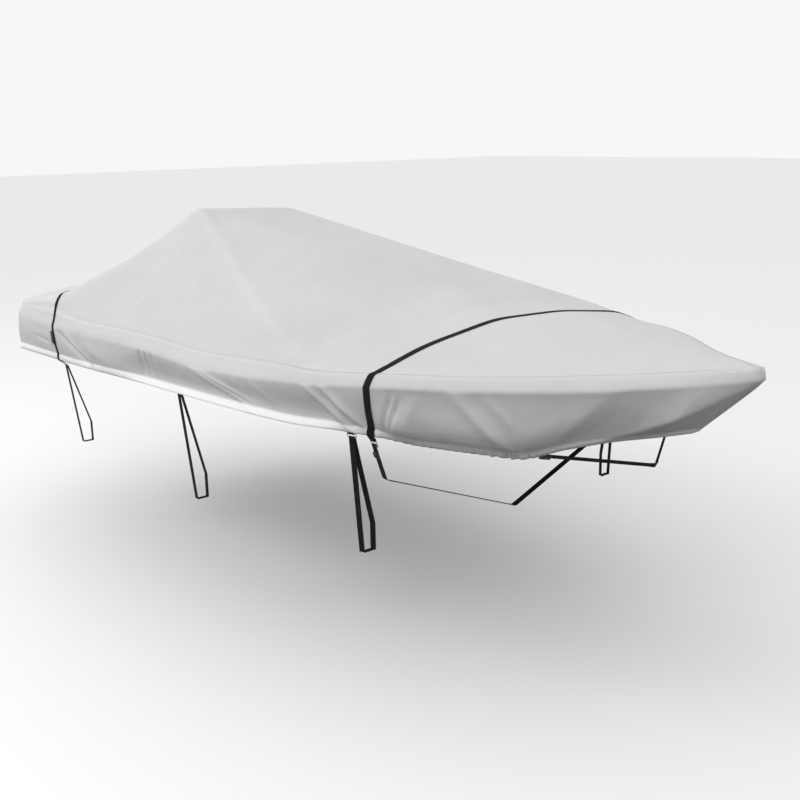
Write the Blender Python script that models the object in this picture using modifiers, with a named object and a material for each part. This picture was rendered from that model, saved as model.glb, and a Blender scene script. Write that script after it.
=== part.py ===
"""A fitted cloth boat cover, as it lies when it is on, with the webbing that holds it down.

The frame: +x points to the bow, +y to port and +z up. The zero is on the centreline, just under the
cloth, beside the raised ridge where the cover is held up. Tables give heights above the ground, so
that they read like sizes taken with a tape, and HELD_HEIGHT is taken off in the meshes.
"""

import math

import bpy
import numpy as np
from mathutils import Matrix, Vector

# --------------------------------------------------------------------------- driving dimensions (metres)
HELD_HEIGHT = 1.715  # from the ground to the zero, where the cover is held up
STERN_X = -1.632  # the cover's flat stern end
CORNER_RADIUS = 0.060  # of the stern corners, seen from above
NOSE_X = 2.643  # the blunt tip of the bow
NOSE_HALF = 0.022  # half of the tip's flat
NOSE_AT_BAND, NOSE_AT_SEAM = 0.85, 0.75  # shares of that half, higher up
CLOTH = 0.0020  # thickness of the cloth as built
GAP = 0.0004  # between two pieces that touch
BAND_HEIGHT = 0.042  # from the edge fold up to the band's upper fold
SEAM_INBOARD = 0.011  # the seam lies this far inboard of the band's upper fold
SEAM_GAP = 0.0010  # between the top's edge and a side's
HEM_HEIGHT = 0.028  # the turned and stitched lower edge
HEM_FULLNESS = 0.003  # how far the turned hem stands out
STERN_TUCK = 0.020  # how far the hem hangs inside the fold at the stern

# The sides, a row for each station: where the cloth folds over its edge, and where the hem hangs below it.
EDGE_FOLD = np.array(
    [  # x, half breadth, fold height, band's lean, hem x, hem half breadth, hem height
        (-1.632, 0.988, 1.150, 0.007, -1.632, 0.965, 0.963),
        (-1.060, 1.002, 1.148, 0.004, -1.060, 0.968, 0.967),
        (-0.750, 1.004, 1.152, 0.008, -0.750, 0.970, 0.974),
        (-0.300, 1.003, 1.168, 0.015, -0.300, 0.972, 0.994),
        (0.100, 1.000, 1.173, 0.020, 0.100, 0.970, 1.007),
        (0.450, 0.983, 1.161, 0.021, 0.450, 0.958, 1.013),
        (0.800, 0.957, 1.171, 0.021, 0.790, 0.933, 1.015),
        (1.100, 0.922, 1.190, 0.021, 1.070, 0.885, 1.011),
        (1.350, 0.873, 1.209, 0.020, 1.320, 0.822, 1.019),
        (1.500, 0.828, 1.221, 0.020, 1.460, 0.763, 1.013),
        (1.700, 0.752, 1.234, 0.021, 1.630, 0.655, 0.985),
        (1.900, 0.640, 1.240, 0.022, 1.820, 0.548, 0.975),
        (2.050, 0.530, 1.245, 0.022, 1.940, 0.445, 0.961),
        (2.200, 0.405, 1.252, 0.022, 2.060, 0.335, 1.000),
        (2.350, 0.278, 1.266, 0.021, 2.170, 0.205, 1.027),
        (2.500, 0.158, 1.284, 0.018, 2.280, 0.110, 1.047),
        (2.600, 0.066, 1.298, 0.013, 2.350, 0.050, 1.060),
        (2.636, 0.032, 1.303, 0.008, 2.374, 0.030, 1.065),
    ]
)

# The top, a row for each section across the cover: four ridges that the cloth is stretched over.
TENT = np.array(
    [  # x, near shoulder y, z, near crest y, z, far crest y, z, far shoulder y, z
        (-1.62, -0.930, 1.236, -0.68, 1.284, 0.45, 1.288, 0.930, 1.232),
        (-1.45, -0.950, 1.256, -0.60, 1.298, 0.50, 1.306, 0.880, 1.268),
        (-1.06, -0.955, 1.325, -0.30, 1.330, 0.30, 1.345, 0.610, 1.355),
        (-0.80, -0.890, 1.430, -0.30, 1.415, 0.15, 1.425, 0.460, 1.440),
        (-0.50, -0.815, 1.548, -0.35, 1.530, -0.05, 1.540, 0.240, 1.560),
        (-0.25, -0.750, 1.670, -0.45, 1.655, -0.20, 1.655, 0.050, 1.670),
        (0.00, -0.660, 1.822, -0.50, 1.812, -0.30, 1.803, -0.135, 1.792),
        (0.25, -0.705, 1.700, -0.52, 1.735, -0.25, 1.722, 0.020, 1.708),
        (0.59, -0.780, 1.510, -0.33, 1.645, -0.05, 1.615, 0.235, 1.590),
        (0.85, -0.830, 1.400, -0.17, 1.565, 0.10, 1.535, 0.400, 1.500),
        (1.10, -0.850, 1.295, -0.02, 1.485, 0.25, 1.450, 0.560, 1.420),
        (1.30, -0.700, 1.295, -0.05, 1.425, 0.32, 1.400, 0.680, 1.360),
        (1.47, -0.550, 1.338, -0.15, 1.398, 0.25, 1.385, 0.660, 1.335),
        (1.65, -0.460, 1.345, -0.12, 1.393, 0.20, 1.388, 0.520, 1.340),
        (2.00, -0.330, 1.335, -0.08, 1.374, 0.10, 1.372, 0.360, 1.330),
        (2.35, -0.150, 1.332, -0.05, 1.350, 0.05, 1.350, 0.160, 1.330),
        (2.66, -0.010, 1.336, -0.005, 1.336, 0.005, 1.336, 0.010, 1.336),
    ]
)
RIDGE_SOFTNESS = 0.038  # a section across the cover rounds its ridges over this half width
SECTION_SOFTNESS = 0.040  # and the ridges along the cover change over this one
STERN_WALL_SLOPE = 3.2  # how steeply the cloth rises above its seam at the stern
STERN_SHOULDER = 0.012  # and how softly that rise turns into the top
STERN_WALL_REACH = 0.300  # where the wall is this far above the top, only the top counts

# Creases of the skirt: where each starts and ends, in x and in depth below the fold (0 fold, 1 hem).
STARBOARD, PORT = -1, 1
CREASES = {
    STARBOARD: [  # x, depth, to x, to depth, how deep it presses in, half width
        (-1.02, 0.10, -0.66, 0.92, 0.012, 0.045),
        (-0.10, 0.02, -0.04, 0.70, 0.010, 0.040),
        (0.40, 0.02, 0.86, 0.80, 0.014, 0.040),
        (1.00, 0.05, 1.36, 0.72, 0.012, 0.040),
        (1.72, 0.08, 1.92, 0.92, 0.014, 0.040),
    ],
    PORT: [
        (-1.00, 0.10, -0.62, 0.90, 0.012, 0.045),
        (0.30, 0.05, 0.72, 0.85, 0.013, 0.040),
        (1.10, 0.05, 1.40, 0.75, 0.012, 0.040),
        (1.75, 0.08, 1.94, 0.90, 0.012, 0.040),
    ],
}
USUAL_DROP = 0.180  # the skirt's usual height, which turns a depth into metres
SKIRT_SWELL = 0.008  # how far the skirt stands out between its fold and its hem
BAND_SWELL = 0.002  # and the band between its two folds
PLAIN_END = 0.150  # swell and creases fade towards the centreline over this half breadth

# Webbing
WEB = 0.0018  # its thickness
STRAPS = {"front": (1.490, 0.030), "rear": (-1.060, 0.026)}  # over the cover: x and width
BEND_SLACK = 0.0006  # more room between webbing and cloth where both bend
ON_CLOTH = GAP + WEB / 2 + BEND_SLACK / 2  # from the cloth's outer face to the middle of the webbing on it
BEHIND_HEM = CLOTH + GAP + WEB / 2  # from the hem's outer face to the middle of the webbing behind it
UNDER_BEND_HALF, UNDER_BEND_HEIGHT = 0.716, 0.826  # where the front strap's under-run turns inboard
UNDER_BEND_RADIUS = 0.030
UNDER_LOWEST = 0.548
TIE_WIDTH = 0.026
TIE_LAP = 0.035  # sewn length behind the hem
TIE_DOWNS = {  # x, then the loop's outer and inner half breadth at its foot, its foot, where it turns up
    "rear": (-1.060, 0.885, 0.835, 0.487, 0.590),
    "middle": (0.250, 0.893, 0.843, 0.482, 0.590),
    "front": (1.360, 0.757, 0.707, 0.506, 0.615),
}
WIRE = 0.0022  # radius of a ring's wire
BELT_TURN = math.radians(35)  # a loop's step round a bar
WRAP = WIRE + GAP + WEB / 2  # from a bar's middle to the middle of the webbing round it
FOLDED_LENGTH = 0.010  # of the end folded up behind a ring's bar
RING_HALF_WIDTH, RING_DROP, RING_CORNER = 0.0195, 0.018, 0.005  # to its bars' middles
FRONT_RING_BELOW, OTHER_RINGS_BELOW = 0.016, 0.012  # from a hem down to its ring's upper bar
REAR_RING_DROP = 0.040
REAR_LINK_HALF, REAR_LINK_HEIGHT = 0.912, 0.900  # a point the rear rings point at
SLIDER, SLIDER_BEVEL, SLIDER_DROP = (0.037, 0.005, 0.028), 0.0015, 0.045
REAR_BUCKLE, REAR_BUCKLE_BEVEL = (0.034, 0.010, 0.070), 0.003
REAR_BUCKLE_ROW = 5  # the strap's grid row under it
TAIL_ROWS, TAIL_ASIDE = slice(13, 16), 0.012  # the free end's rows of the strap's grid, and its slant
BOW_STRAP_WIDTH, BOW_STRAP_X = 0.022, 1.975  # and where it leaves the hem
BOW_STRAP_ACROSS = (-0.25, 0.62, -0.74)  # the way its width lies
BOW_TURN_X, BOW_TURN_HALF, BOW_TURN_HEIGHT = 2.205, 0.016, 0.905  # where it turns round under the bow
BOW_TURN_ACROSS = (-0.35, 0, -0.94)
BOW_TURN_LENGTH = 0.6  # of that turn, as a share of its half breadth
BOW_LAP = 0.008  # how far its ends reach up behind the hem
BOW_BUCKLE, BOW_BUCKLE_BEVEL, BOW_BUCKLE_AT = (0.026, 0.045, 0.008), 0.002, 0.060
SIDE_NAMES = {STARBOARD: "starboard", PORT: "port"}

# Where the grids have their lines
STATION_STEP = 0.105
FAN_FROM, FAN_RUN = 1.8, 0.5  # from this x the ways out of the cover turn with its edge, over this run
CORNER_TURNS = (30, 60)  # degrees
STERN_SHARES = (0.17, 0.38, 0.59, 0.78, 0.91)
TOP_SHARES = (0.0, 0.10, 0.21, 0.32, 0.43, 0.54, 0.64, 0.73, 0.81, 0.88, 0.93, 0.965, 0.985, 1.0)
SKIRT_ROWS = (  # depth below the fold; from depth 1 a share of the hem's height, and its fullness
    (0.12, 0, 0),
    (0.27, 0, 0),
    (0.42, 0, 0),
    (0.57, 0, 0),
    (0.72, 0, 0),
    (1, 1.0, 0),
    (1, 0.8, 1),
    (1, 0.15, 1),
    (1, 0.0, 0),
)

CLOTH_GREY = (0.56, 0.56, 0.56, 1.0)
WEB_BLACK = (0.012, 0.012, 0.013, 1.0)
STEEL = (0.55, 0.55, 0.56, 1.0)
PLASTIC_BLACK = (0.02, 0.02, 0.02, 1.0)


# --------------------------------------------------------------------------- reading the tables
def unit(vector):
    return np.asarray(vector) / np.linalg.norm(vector)


def smooth_columns(table, x):
    """Each column of a table at x, on cubic pieces that never overshoot the rows."""
    rows, values = table[:, 0], table[:, 1:]
    x = np.clip(np.atleast_1d(x), rows[0], rows[-1])
    steps = np.diff(rows)[:, None]
    rises = np.diff(values, axis=0) / steps
    same_way = rises[:-1] * rises[1:] > 0
    total = np.where(same_way, rises[:-1] + rises[1:], 1.0)
    slopes = np.zeros_like(values)
    slopes[1:-1] = np.where(same_way, 2 * rises[:-1] * rises[1:] / total, 0.0)
    slopes[0], slopes[-1] = rises[0], rises[-1]
    i = np.clip(np.searchsorted(rows, x, side="right") - 1, 0, len(rows) - 2)
    t = ((x - rows[i]) / (rows[i + 1] - rows[i]))[:, None]
    start = values[i] * (1 + 2 * t) * (1 - t) ** 2 + slopes[i] * steps[i] * t * (1 - t) ** 2
    end = values[i + 1] * (3 - 2 * t) * t**2 - slopes[i + 1] * steps[i] * (1 - t) * t**2
    return start + end


def softened(read, at, reach):
    """A reading averaged over its neighbourhood, which rounds off its corners."""
    offsets = (-0.9, -0.6, -0.3, 0.0, 0.3, 0.6, 0.9)
    weights = [1 - abs(offset) for offset in offsets]
    return sum(w * read(at + o * reach) for o, w in zip(offsets, weights)) / sum(weights)


def half_breadth(x):
    """Of the edge fold at each x, with the stern corner's arc."""
    into_corner = np.clip(CORNER_RADIUS - (x - STERN_X), 0.0, CORNER_RADIUS)
    return smooth_columns(EDGE_FOLD, x)[:, 0] - CORNER_RADIUS + np.sqrt(CORNER_RADIUS**2 - into_corner**2)


def top_height(x, y):
    """Height of the top cloth at one x and an array of y."""
    fold_height, lean = smooth_columns(EDGE_FOLD, x)[0, 1:3]
    edge_height = fold_height + BAND_HEIGHT
    edge = half_breadth(np.array([x]))[0] - lean

    def ridges_at(at):
        return np.array([np.interp(at, TENT[:, 0], column) for column in TENT[:, 1:].T])

    ridges = softened(ridges_at, x, SECTION_SOFTNESS)
    inner = np.clip(ridges[0::2], CLOTH - edge, edge - CLOTH)
    breadths = np.concatenate([[-edge], inner, [edge]])
    heights = np.concatenate([[edge_height], ridges[1::2], [edge_height]])
    reach = np.clip(edge - np.abs(y), 0.0, RIDGE_SOFTNESS)
    tent = softened(lambda at: np.interp(at, breadths, heights), y, reach)
    wall = edge_height + STERN_WALL_SLOPE * (x - STERN_X - lean)
    lower = (tent + wall - np.sqrt((tent - wall) ** 2 + STERN_SHOULDER**2)) / 2
    return np.maximum(np.where(wall > tent + STERN_WALL_REACH, tent, lower), edge_height)


# --------------------------------------------------------------------------- the cloth's grids
def stations():
    """The x of each line across the cover from the stern corner to the nose, with a strap's own lines."""
    fixed = [STERN_X + CORNER_RADIUS, EDGE_FOLD[-1, 0]]
    for middle, width in STRAPS.values():
        fixed += [middle - width / 2, middle, middle + width / 2]
    fixed.sort()
    lines = []
    for start, end in zip(fixed[:-1], fixed[1:]):
        count = max(1, round((end - start) / STATION_STEP))
        lines += [start + (end - start) * k / count for k in range(count)]
    return np.array(lines + fixed[-1:])


def starboard_outline():
    """The edge fold in plan from the stern's middle to the nose, and the way out of the cover."""
    flat_half = half_breadth(np.array([STERN_X]))[0]
    points = [(STERN_X, -GAP / 2)] + [(STERN_X, -share * flat_half) for share in STERN_SHARES]
    outward = [(-1.0, 0.0)] * len(points)
    for turn in (0, *CORNER_TURNS):
        ahead, aside = math.cos(math.radians(turn)), math.sin(math.radians(turn))
        points.append((STERN_X + CORNER_RADIUS * (1 - ahead), -flat_half - CORNER_RADIUS * aside))
        outward.append((-ahead, -aside))
    lines = stations()
    breadths = half_breadth(lines)
    towards_bow = np.clip((lines - FAN_FROM) / FAN_RUN, 0.0, 1.0)  # lines stay straight across further aft
    slopes = np.gradient(breadths, lines) * towards_bow
    for x, breadth, slope in zip(lines, breadths, slopes):
        points.append((x, -breadth))
        outward.append((-slope / math.hypot(1.0, slope), -1.0 / math.hypot(1.0, slope)))
    points += [(NOSE_X, -NOSE_HALF), (NOSE_X, -GAP / 2)]
    outward += [(1.0, 0.0)] * 2
    return np.array(points), np.array(outward)


def seam_line(inboard):
    """The line in plan where the top meets the sides, this far inboard of the band's upper fold."""
    plan, outward = starboard_outline()
    lean = smooth_columns(EDGE_FOLD, plan[:, 0])[:, 2]
    line = plan - outward * (lean + inboard)[:, None]
    line[-2, 1] *= NOSE_AT_SEAM
    return line


def crease_depth(side, x, depth):
    """How far the skirt's creases press it in, at each x and one depth below the fold."""
    pressed = np.zeros_like(x)
    for x0, d0, x1, d1, deep, half_width in CREASES[side]:
        run, fall = x1 - x0, (d1 - d0) * USUAL_DROP
        ahead, below = x - x0, (depth - d0) * USUAL_DROP
        along = (ahead * run + below * fall) / (run**2 + fall**2)
        across = (ahead * fall - below * run) / math.hypot(run, fall)
        fade = np.sin(math.pi * np.clip(along, 0.0, 1.0))
        pressed += deep * fade * np.exp(-((across / half_width) ** 2))
    return pressed


def side_grid(side):
    """Points of one side cloth: rows from its seam down to its hem, columns from stern to nose."""
    plan, outward = starboard_outline()
    sizes = smooth_columns(EDGE_FOLD, plan[:, 0])
    fold_height, lean, hem_x, hem_half, hem_height = sizes[:, 1:].T
    across = np.column_stack([outward, np.zeros(len(plan))])
    fold = np.column_stack([plan, fold_height])
    band_top = fold - across * lean[:, None] + Vector((0, 0, BAND_HEIGHT))
    band_top[-2, 1] *= NOSE_AT_BAND
    line = seam_line(SEAM_INBOARD - SEAM_GAP)
    seam = np.array([(x, y, top_height(x, np.array([-y * side]))[0]) for x, y in line])

    hem = fold - across * STERN_TUCK
    hem[:, 2] = hem_height
    sides = plan[:, 0] > STERN_X + CORNER_RADIUS - 1e-6
    hem[sides, 0], hem[sides, 1] = hem_x[sides], -hem_half[sides]
    hem[-2:, 0] += NOSE_X - EDGE_FOLD[-1, 0]
    hem[-2:, 1] = plan[-2:, 1]

    near_middle = np.minimum(np.abs(plan[:, 1]) / PLAIN_END, 1.0)
    rows = [seam, band_top, (band_top + fold) / 2 + across * BAND_SWELL, fold]
    hem_share = HEM_HEIGHT / np.linalg.norm(hem - fold, axis=1)
    for depth, share_of_hem, full in SKIRT_ROWS:
        depths = depth if depth < 1 else 1 - share_of_hem * hem_share
        stands_out = SKIRT_SWELL * np.sin(math.pi * depths) + full * HEM_FULLNESS
        stands_out = (stands_out - crease_depth(side, fold[:, 0], depths)) * near_middle
        rows.append(fold + (hem - fold) * np.reshape(depths, (-1, 1)) + across * stands_out[:, None])
    return np.array(rows) * (1, -side, 1)


def top_grid():
    """Points of the top cloth: rows across the cover from the stern to the nose."""
    shares = np.array([-share for share in TOP_SHARES[:0:-1]] + list(TOP_SHARES))
    first = 1 + len(STERN_SHARES)
    line = seam_line(SEAM_INBOARD)[first:-1]
    rows = []
    for x, y in line:
        across = -y * shares
        rows.append(np.column_stack([np.full(len(shares), x), across, top_height(x, across)]))
    return np.array(rows)


# --------------------------------------------------------------------------- making meshes
def new_mesh(name, points, faces, material):
    mesh = bpy.data.meshes.new(name)
    mesh.from_pydata([tuple(p) for p in points], [], faces)
    mesh.materials.append(material)
    mesh.shade_smooth()
    obj = bpy.data.objects.new(name, mesh)
    obj.location.z = -HELD_HEIGHT
    COVER.objects.link(obj)
    return obj


def sheet(name, grid, material, thickness, offset, closed=False, flip=False):
    """A grid of points given a thickness: offset -1 thickens inwards, 0 both ways."""
    rows, columns = grid.shape[:2]
    faces = []
    for r in range(rows - 1):
        for c in range(columns - (0 if closed else 1)):
            d = (c + 1) % columns
            face = [r * columns + c, r * columns + d, (r + 1) * columns + d, (r + 1) * columns + c]
            faces.append(face[:1] + face[:0:-1] if flip else face)
    obj = new_mesh(name, grid.reshape(-1, 3), faces, material)
    solidify = obj.modifiers.new("Thickness", "SOLIDIFY")
    solidify.thickness = thickness
    solidify.offset = offset
    solidify.use_even_offset = offset == 0


def principled(name, colour, roughness, metallic=0.0):
    material = bpy.data.materials.new(name)
    material.use_nodes = True
    shader = material.node_tree.nodes["Principled BSDF"]
    shader.inputs["Base Color"].default_value = colour
    shader.inputs["Roughness"].default_value = roughness
    shader.inputs["Metallic"].default_value = metallic
    return material


def rounded(corners, radius, closed, steps=4):
    """A path through the corners, each turned over an arc of this radius; an open path keeps its ends."""
    corners = np.array(corners, float)
    points = []
    for before, corner, after in zip(np.roll(corners, 1, 0), corners, np.roll(corners, -1, 0)):
        back, ahead = unit(before - corner), unit(after - corner)
        half = math.acos(np.clip(back @ ahead, -1, 1)) / 2
        middle = corner + unit(back + ahead) * radius / math.sin(half)
        reach = radius / math.tan(half)
        first, last = corner + back * reach - middle, corner + ahead * reach - middle
        shares = np.linspace(0, 1, steps + 1)[:, None]
        arc = first * (1 - shares) + last * shares
        points.append(middle + arc / np.linalg.norm(arc, axis=1, keepdims=True) * radius)
    if not closed:
        points[0], points[-1] = corners[:1], corners[-1:]
    return np.concatenate(points)


def belt(bars, radius):
    """A closed path round round bars, this far from the middle of each; the bars make a convex outline."""
    bars = np.array(bars, float)
    following = np.roll(bars, -1, 0)
    area = np.sum(bars[:, 0] * following[:, 1] - bars[:, 1] * following[:, 0])
    headings = np.arctan2(*(following - bars).T[::-1])
    points = []
    for before, bar, heading in zip(np.roll(headings, 1), bars, headings):
        turn = (heading - before + math.pi) % (2 * math.pi) - math.pi
        steps = max(1, round(abs(turn) / BELT_TURN))
        angles = before - math.copysign(math.pi / 2, area) + turn * np.arange(steps + 1) / steps
        points.append(bar + radius * np.column_stack([np.cos(angles), np.sin(angles)]))
    return np.concatenate(points)


def across_cover(path, x, width, slant=0.0):
    """A grid for webbing whose flat runs along the cover, from a path of (y, height) points."""
    edges = (-width / 2, 0, width / 2)
    return np.array([np.insert(path + np.array([slant * at, 0]), 0, x + at, axis=1) for at in edges])


def block(name, size, bevel, centre, axes, material):
    """A box with rounded edges, its own x, y and z laid along three axes."""
    bpy.ops.mesh.primitive_cube_add(size=1)
    obj = bpy.context.object
    obj.name = obj.data.name = name
    obj.data.transform(Matrix.Diagonal((*size, 1)))
    obj.data.materials.append(material)
    obj.matrix_world = Matrix.Translation(Vector(centre) - Vector((0, 0, HELD_HEIGHT))) @ (
        Matrix([Vector(a) for a in axes]).transposed().to_4x4()
    )
    rounding = obj.modifiers.new("Rounding", "BEVEL")
    rounding.width, rounding.segments = bevel, 2
    bpy.context.collection.objects.unlink(obj)
    COVER.objects.link(obj)


# --------------------------------------------------------------------------- the pieces
def make_cloths(material):
    sheet("top_panel", top_grid(), material, CLOTH, -1.0, flip=True)
    sheet("side_panel_starboard", side_grid(STARBOARD), material, CLOTH, -1.0, flip=True)
    sheet("side_panel_port", side_grid(PORT), material, CLOTH, -1.0)


def cloth_lines(x, width):
    """Three lines of the cloth under a strap, each from the starboard hem over the top to the port hem."""
    plan = starboard_outline()[0]
    first = 1 + len(STERN_SHARES)
    starboard, port, top = side_grid(STARBOARD), side_grid(PORT), top_grid()
    lines = []
    for at in (x - width / 2, x, x + width / 2):
        k = first + int(np.argmin(np.abs(plan[first:-1, 0] - at)))
        lines.append(np.concatenate([starboard[:0:-1, k], top[k - first], port[1:, k]]))
    return np.array(lines)


def lying_on_cloth(x, width, height):
    """The middle layer of a strap over the cloth, everywhere this far outside it."""
    lines = cloth_lines(x, width)
    along = np.diff(lines[:, :, 1:], axis=1)
    along /= np.linalg.norm(along, axis=2, keepdims=True)
    out = np.stack([-along[:, :, 1], along[:, :, 0]], axis=2)
    before, after = out[:, [0, *range(out.shape[1])]], out[:, [*range(out.shape[1]), -1]]
    lines[:, :, 1:] += (before + after) / (1 + (before * after).sum(axis=2, keepdims=True)) * height
    return lines


def hem_at(side, x):
    """(y, height) of the hem at x, the unit way up the skirt from it, and how far y changes with x there."""
    steps = np.interp(x + np.array([-TIE_WIDTH, 0, TIE_WIDTH]) / 2, EDGE_FOLD[:, 4], EDGE_FOLD[:, 0])
    rows = smooth_columns(EDGE_FOLD, steps)
    breadth, fold_height, _, _, hem_half, hem_height = rows[1]
    up = unit((side * (breadth - hem_half), fold_height - hem_height))
    return np.array([side * hem_half, hem_height]), up, side * (rows[2, 4] - rows[0, 4]) / TIE_WIDTH


class Ring:
    """A wire oblong below a hem, between the webbing above it and the webbing below it."""

    def __init__(self, name, side, x, base, towards, to_bar, drop, material, slant=0.0):
        """Its upper bar hangs to_bar below a base in (y, height), along the way towards another point."""
        self.side, self.x = side, x
        self.down = unit(np.subtract(towards, base))
        self.out = np.array([-side * self.down[1], side * self.down[0]])
        self.upper = base + self.down * to_bar - self.out * WRAP
        self.lower = self.upper + self.down * drop
        half = RING_HALF_WIDTH
        outline = rounded([(-half, 0), (half, 0), (half, drop), (-half, drop)], RING_CORNER, True, 3)
        data = bpy.data.curves.new(name, "CURVE")
        data.dimensions, data.bevel_depth, data.bevel_resolution = "3D", WIRE, 2
        spline = data.splines.new("POLY")
        spline.points.add(len(outline) - 1)
        for point, (aside, below) in zip(spline.points, outline):
            y, height = self.upper + self.down * below
            point.co = (x + aside, y + slant * aside, height, 1)
        spline.use_cyclic_u = True
        data.materials.append(material)
        obj = bpy.data.objects.new(name, data)
        obj.location.z = -HELD_HEIGHT
        COVER.objects.link(obj)

    def round_bar(self, bar, first, last):
        """Points round a bar, from one angle to another: 0 is outward and 90 is down."""
        turns = np.radians(np.linspace(first, last, 7))
        return bar + WRAP * (np.outer(np.cos(turns), self.out) + np.outer(np.sin(turns), self.down))

    def folded_end(self):
        """Upper webbing's last points: round the upper bar from its outer side and up behind it."""
        arc = self.round_bar(self.upper, 0, 180)
        return np.vstack([arc, arc[-1] - self.down * FOLDED_LENGTH])

    def hooked_start(self):
        """Lower webbing's first points: up behind the lower bar, over it and down its outer side."""
        arc = self.round_bar(self.lower, 180, 360)
        return np.vstack([arc[0] + self.down * FOLDED_LENGTH, arc])


def strap_over(name, place, rings, material):
    """Webbing lying on the cloth from hem to hem, each end folded round its ring."""
    lines = []
    for line in lying_on_cloth(*STRAPS[place], ON_CLOTH):
        ends = [np.insert(rings[side].folded_end(), 0, line[0, 0], axis=1) for side in (STARBOARD, PORT)]
        lines.append(np.vstack([ends[0][::-1], line, ends[1]]))
    sheet(name, np.array(lines), material, WEB, 0.0)


def tie_down(side, place, head, material, slant=0.0):
    """A closed loop of webbing from a head bar in (y, height) down to its foot."""
    x, outer, inner, foot, upper = TIE_DOWNS[place]
    bars = [head] + [(side * y, height) for y, height in ((outer, foot), (inner, foot), (inner, upper))]
    name = f"tie_down_{place}_{SIDE_NAMES[side]}"
    sheet(name, across_cover(belt(bars, WRAP), x, TIE_WIDTH, slant), material, WEB, 0.0, closed=True)


def make_front_strap(web, steel, plastic):
    """The strap over the bow, its rings, its run underneath from ring to ring, and its slider."""
    x, width = STRAPS["front"]
    middle = lying_on_cloth(x, width, ON_CLOTH)[1]
    x, middle = middle[0, 0], middle[:, 1:]  # the skirt brings the strap a little aft at the hem
    rings = {}
    for side, base in ((STARBOARD, middle[0]), (PORT, middle[-1])):
        name = f"front_ring_{SIDE_NAMES[side]}"
        towards = (side * UNDER_BEND_HALF, UNDER_BEND_HEIGHT)
        rings[side] = Ring(name, side, x, base, towards, FRONT_RING_BELOW, RING_DROP, steel)
    strap_over("front_strap_over", "front", rings, web)
    starts = [rings[side].hooked_start() for side in (STARBOARD, PORT)]
    bends = [(-UNDER_BEND_HALF, UNDER_BEND_HEIGHT), (0, UNDER_LOWEST), (UNDER_BEND_HALF, UNDER_BEND_HEIGHT)]
    below = rounded([starts[0][-1], *bends, starts[1][-1]], UNDER_BEND_RADIUS, False)
    path = np.vstack([starts[0], below[1:-1], starts[1][::-1]])
    sheet("front_strap_under", across_cover(path, x, width), web, WEB, 0.0)
    ring = rings[STARBOARD]
    centre = ring.lower + ring.down * SLIDER_DROP + ring.out * (WRAP + WEB / 2 + GAP + SLIDER[1] / 2)
    axes = ((1, 0, 0), (0, *-ring.out), (0, *-ring.down))
    block("front_slider_starboard", SLIDER, SLIDER_BEVEL, (x, *centre), axes, plastic)


def make_rear_strap(web, steel, plastic):
    """The strap over the stern, its rings and the tie-downs they hold, its buckle and its free end."""
    x, width = STRAPS["rear"]
    middle = lying_on_cloth(x, width, ON_CLOTH)[1, :, 1:]
    rings = {}
    for side, base in ((STARBOARD, middle[0]), (PORT, middle[-1])):
        name = f"rear_ring_{SIDE_NAMES[side]}"
        towards = (side * REAR_LINK_HALF, REAR_LINK_HEIGHT)
        rings[side] = Ring(name, side, x, base, towards, OTHER_RINGS_BELOW, REAR_RING_DROP, steel)
        tie_down(side, "rear", rings[side].lower, web)
    strap_over("rear_strap_over", "rear", rings, web)
    up = unit(middle[REAR_BUCKLE_ROW + 1] - middle[REAR_BUCKLE_ROW - 1])
    out = np.array([-up[1], up[0]])
    centre = middle[REAR_BUCKLE_ROW] + out * (WEB / 2 + GAP * 2 + REAR_BUCKLE[1] / 2)
    axes = ((1, 0, 0), (0, *-out), (0, *up))
    block("rear_buckle", REAR_BUCKLE, REAR_BUCKLE_BEVEL, (x, *centre), axes, plastic)
    tail = lying_on_cloth(x, width, ON_CLOTH + WEB + GAP * 2)[:, TAIL_ROWS]
    tail[:, 0, 0] += TAIL_ASIDE
    sheet("rear_strap_tail", tail, web, WEB, 0.0)


def make_hem_ties(web, steel):
    """The middle tie-downs, sewn behind the hem, and the front ones, each on a ring and a sewn tab."""
    for side in (STARBOARD, PORT):
        x, outer, _, foot, _ = TIE_DOWNS["middle"]
        hem, up, slant = hem_at(side, x)
        inwards = np.array([-side * up[1], side * up[0]])
        through = hem + inwards * (BEHIND_HEM + WRAP)
        head = through + unit(through - (side * (outer - WRAP), foot + WRAP)) * TIE_LAP
        tie_down(side, "middle", head, web, slant)

        x = TIE_DOWNS["front"][0]
        hem, up, slant = hem_at(side, x)
        base = hem + np.array([-side * up[1], side * up[0]]) * (BEHIND_HEM + BEND_SLACK)
        name = f"tie_ring_{SIDE_NAMES[side]}"
        ring = Ring(name, side, x, base, base - up, OTHER_RINGS_BELOW, RING_DROP, steel, slant)
        tab = np.vstack([base + up * TIE_LAP, ring.folded_end()])
        sheet(f"hem_tab_{SIDE_NAMES[side]}", across_cover(tab, x, TIE_WIDTH, slant), web, WEB, 0.0)
        tie_down(side, "front", ring.lower, web, slant)


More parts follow.
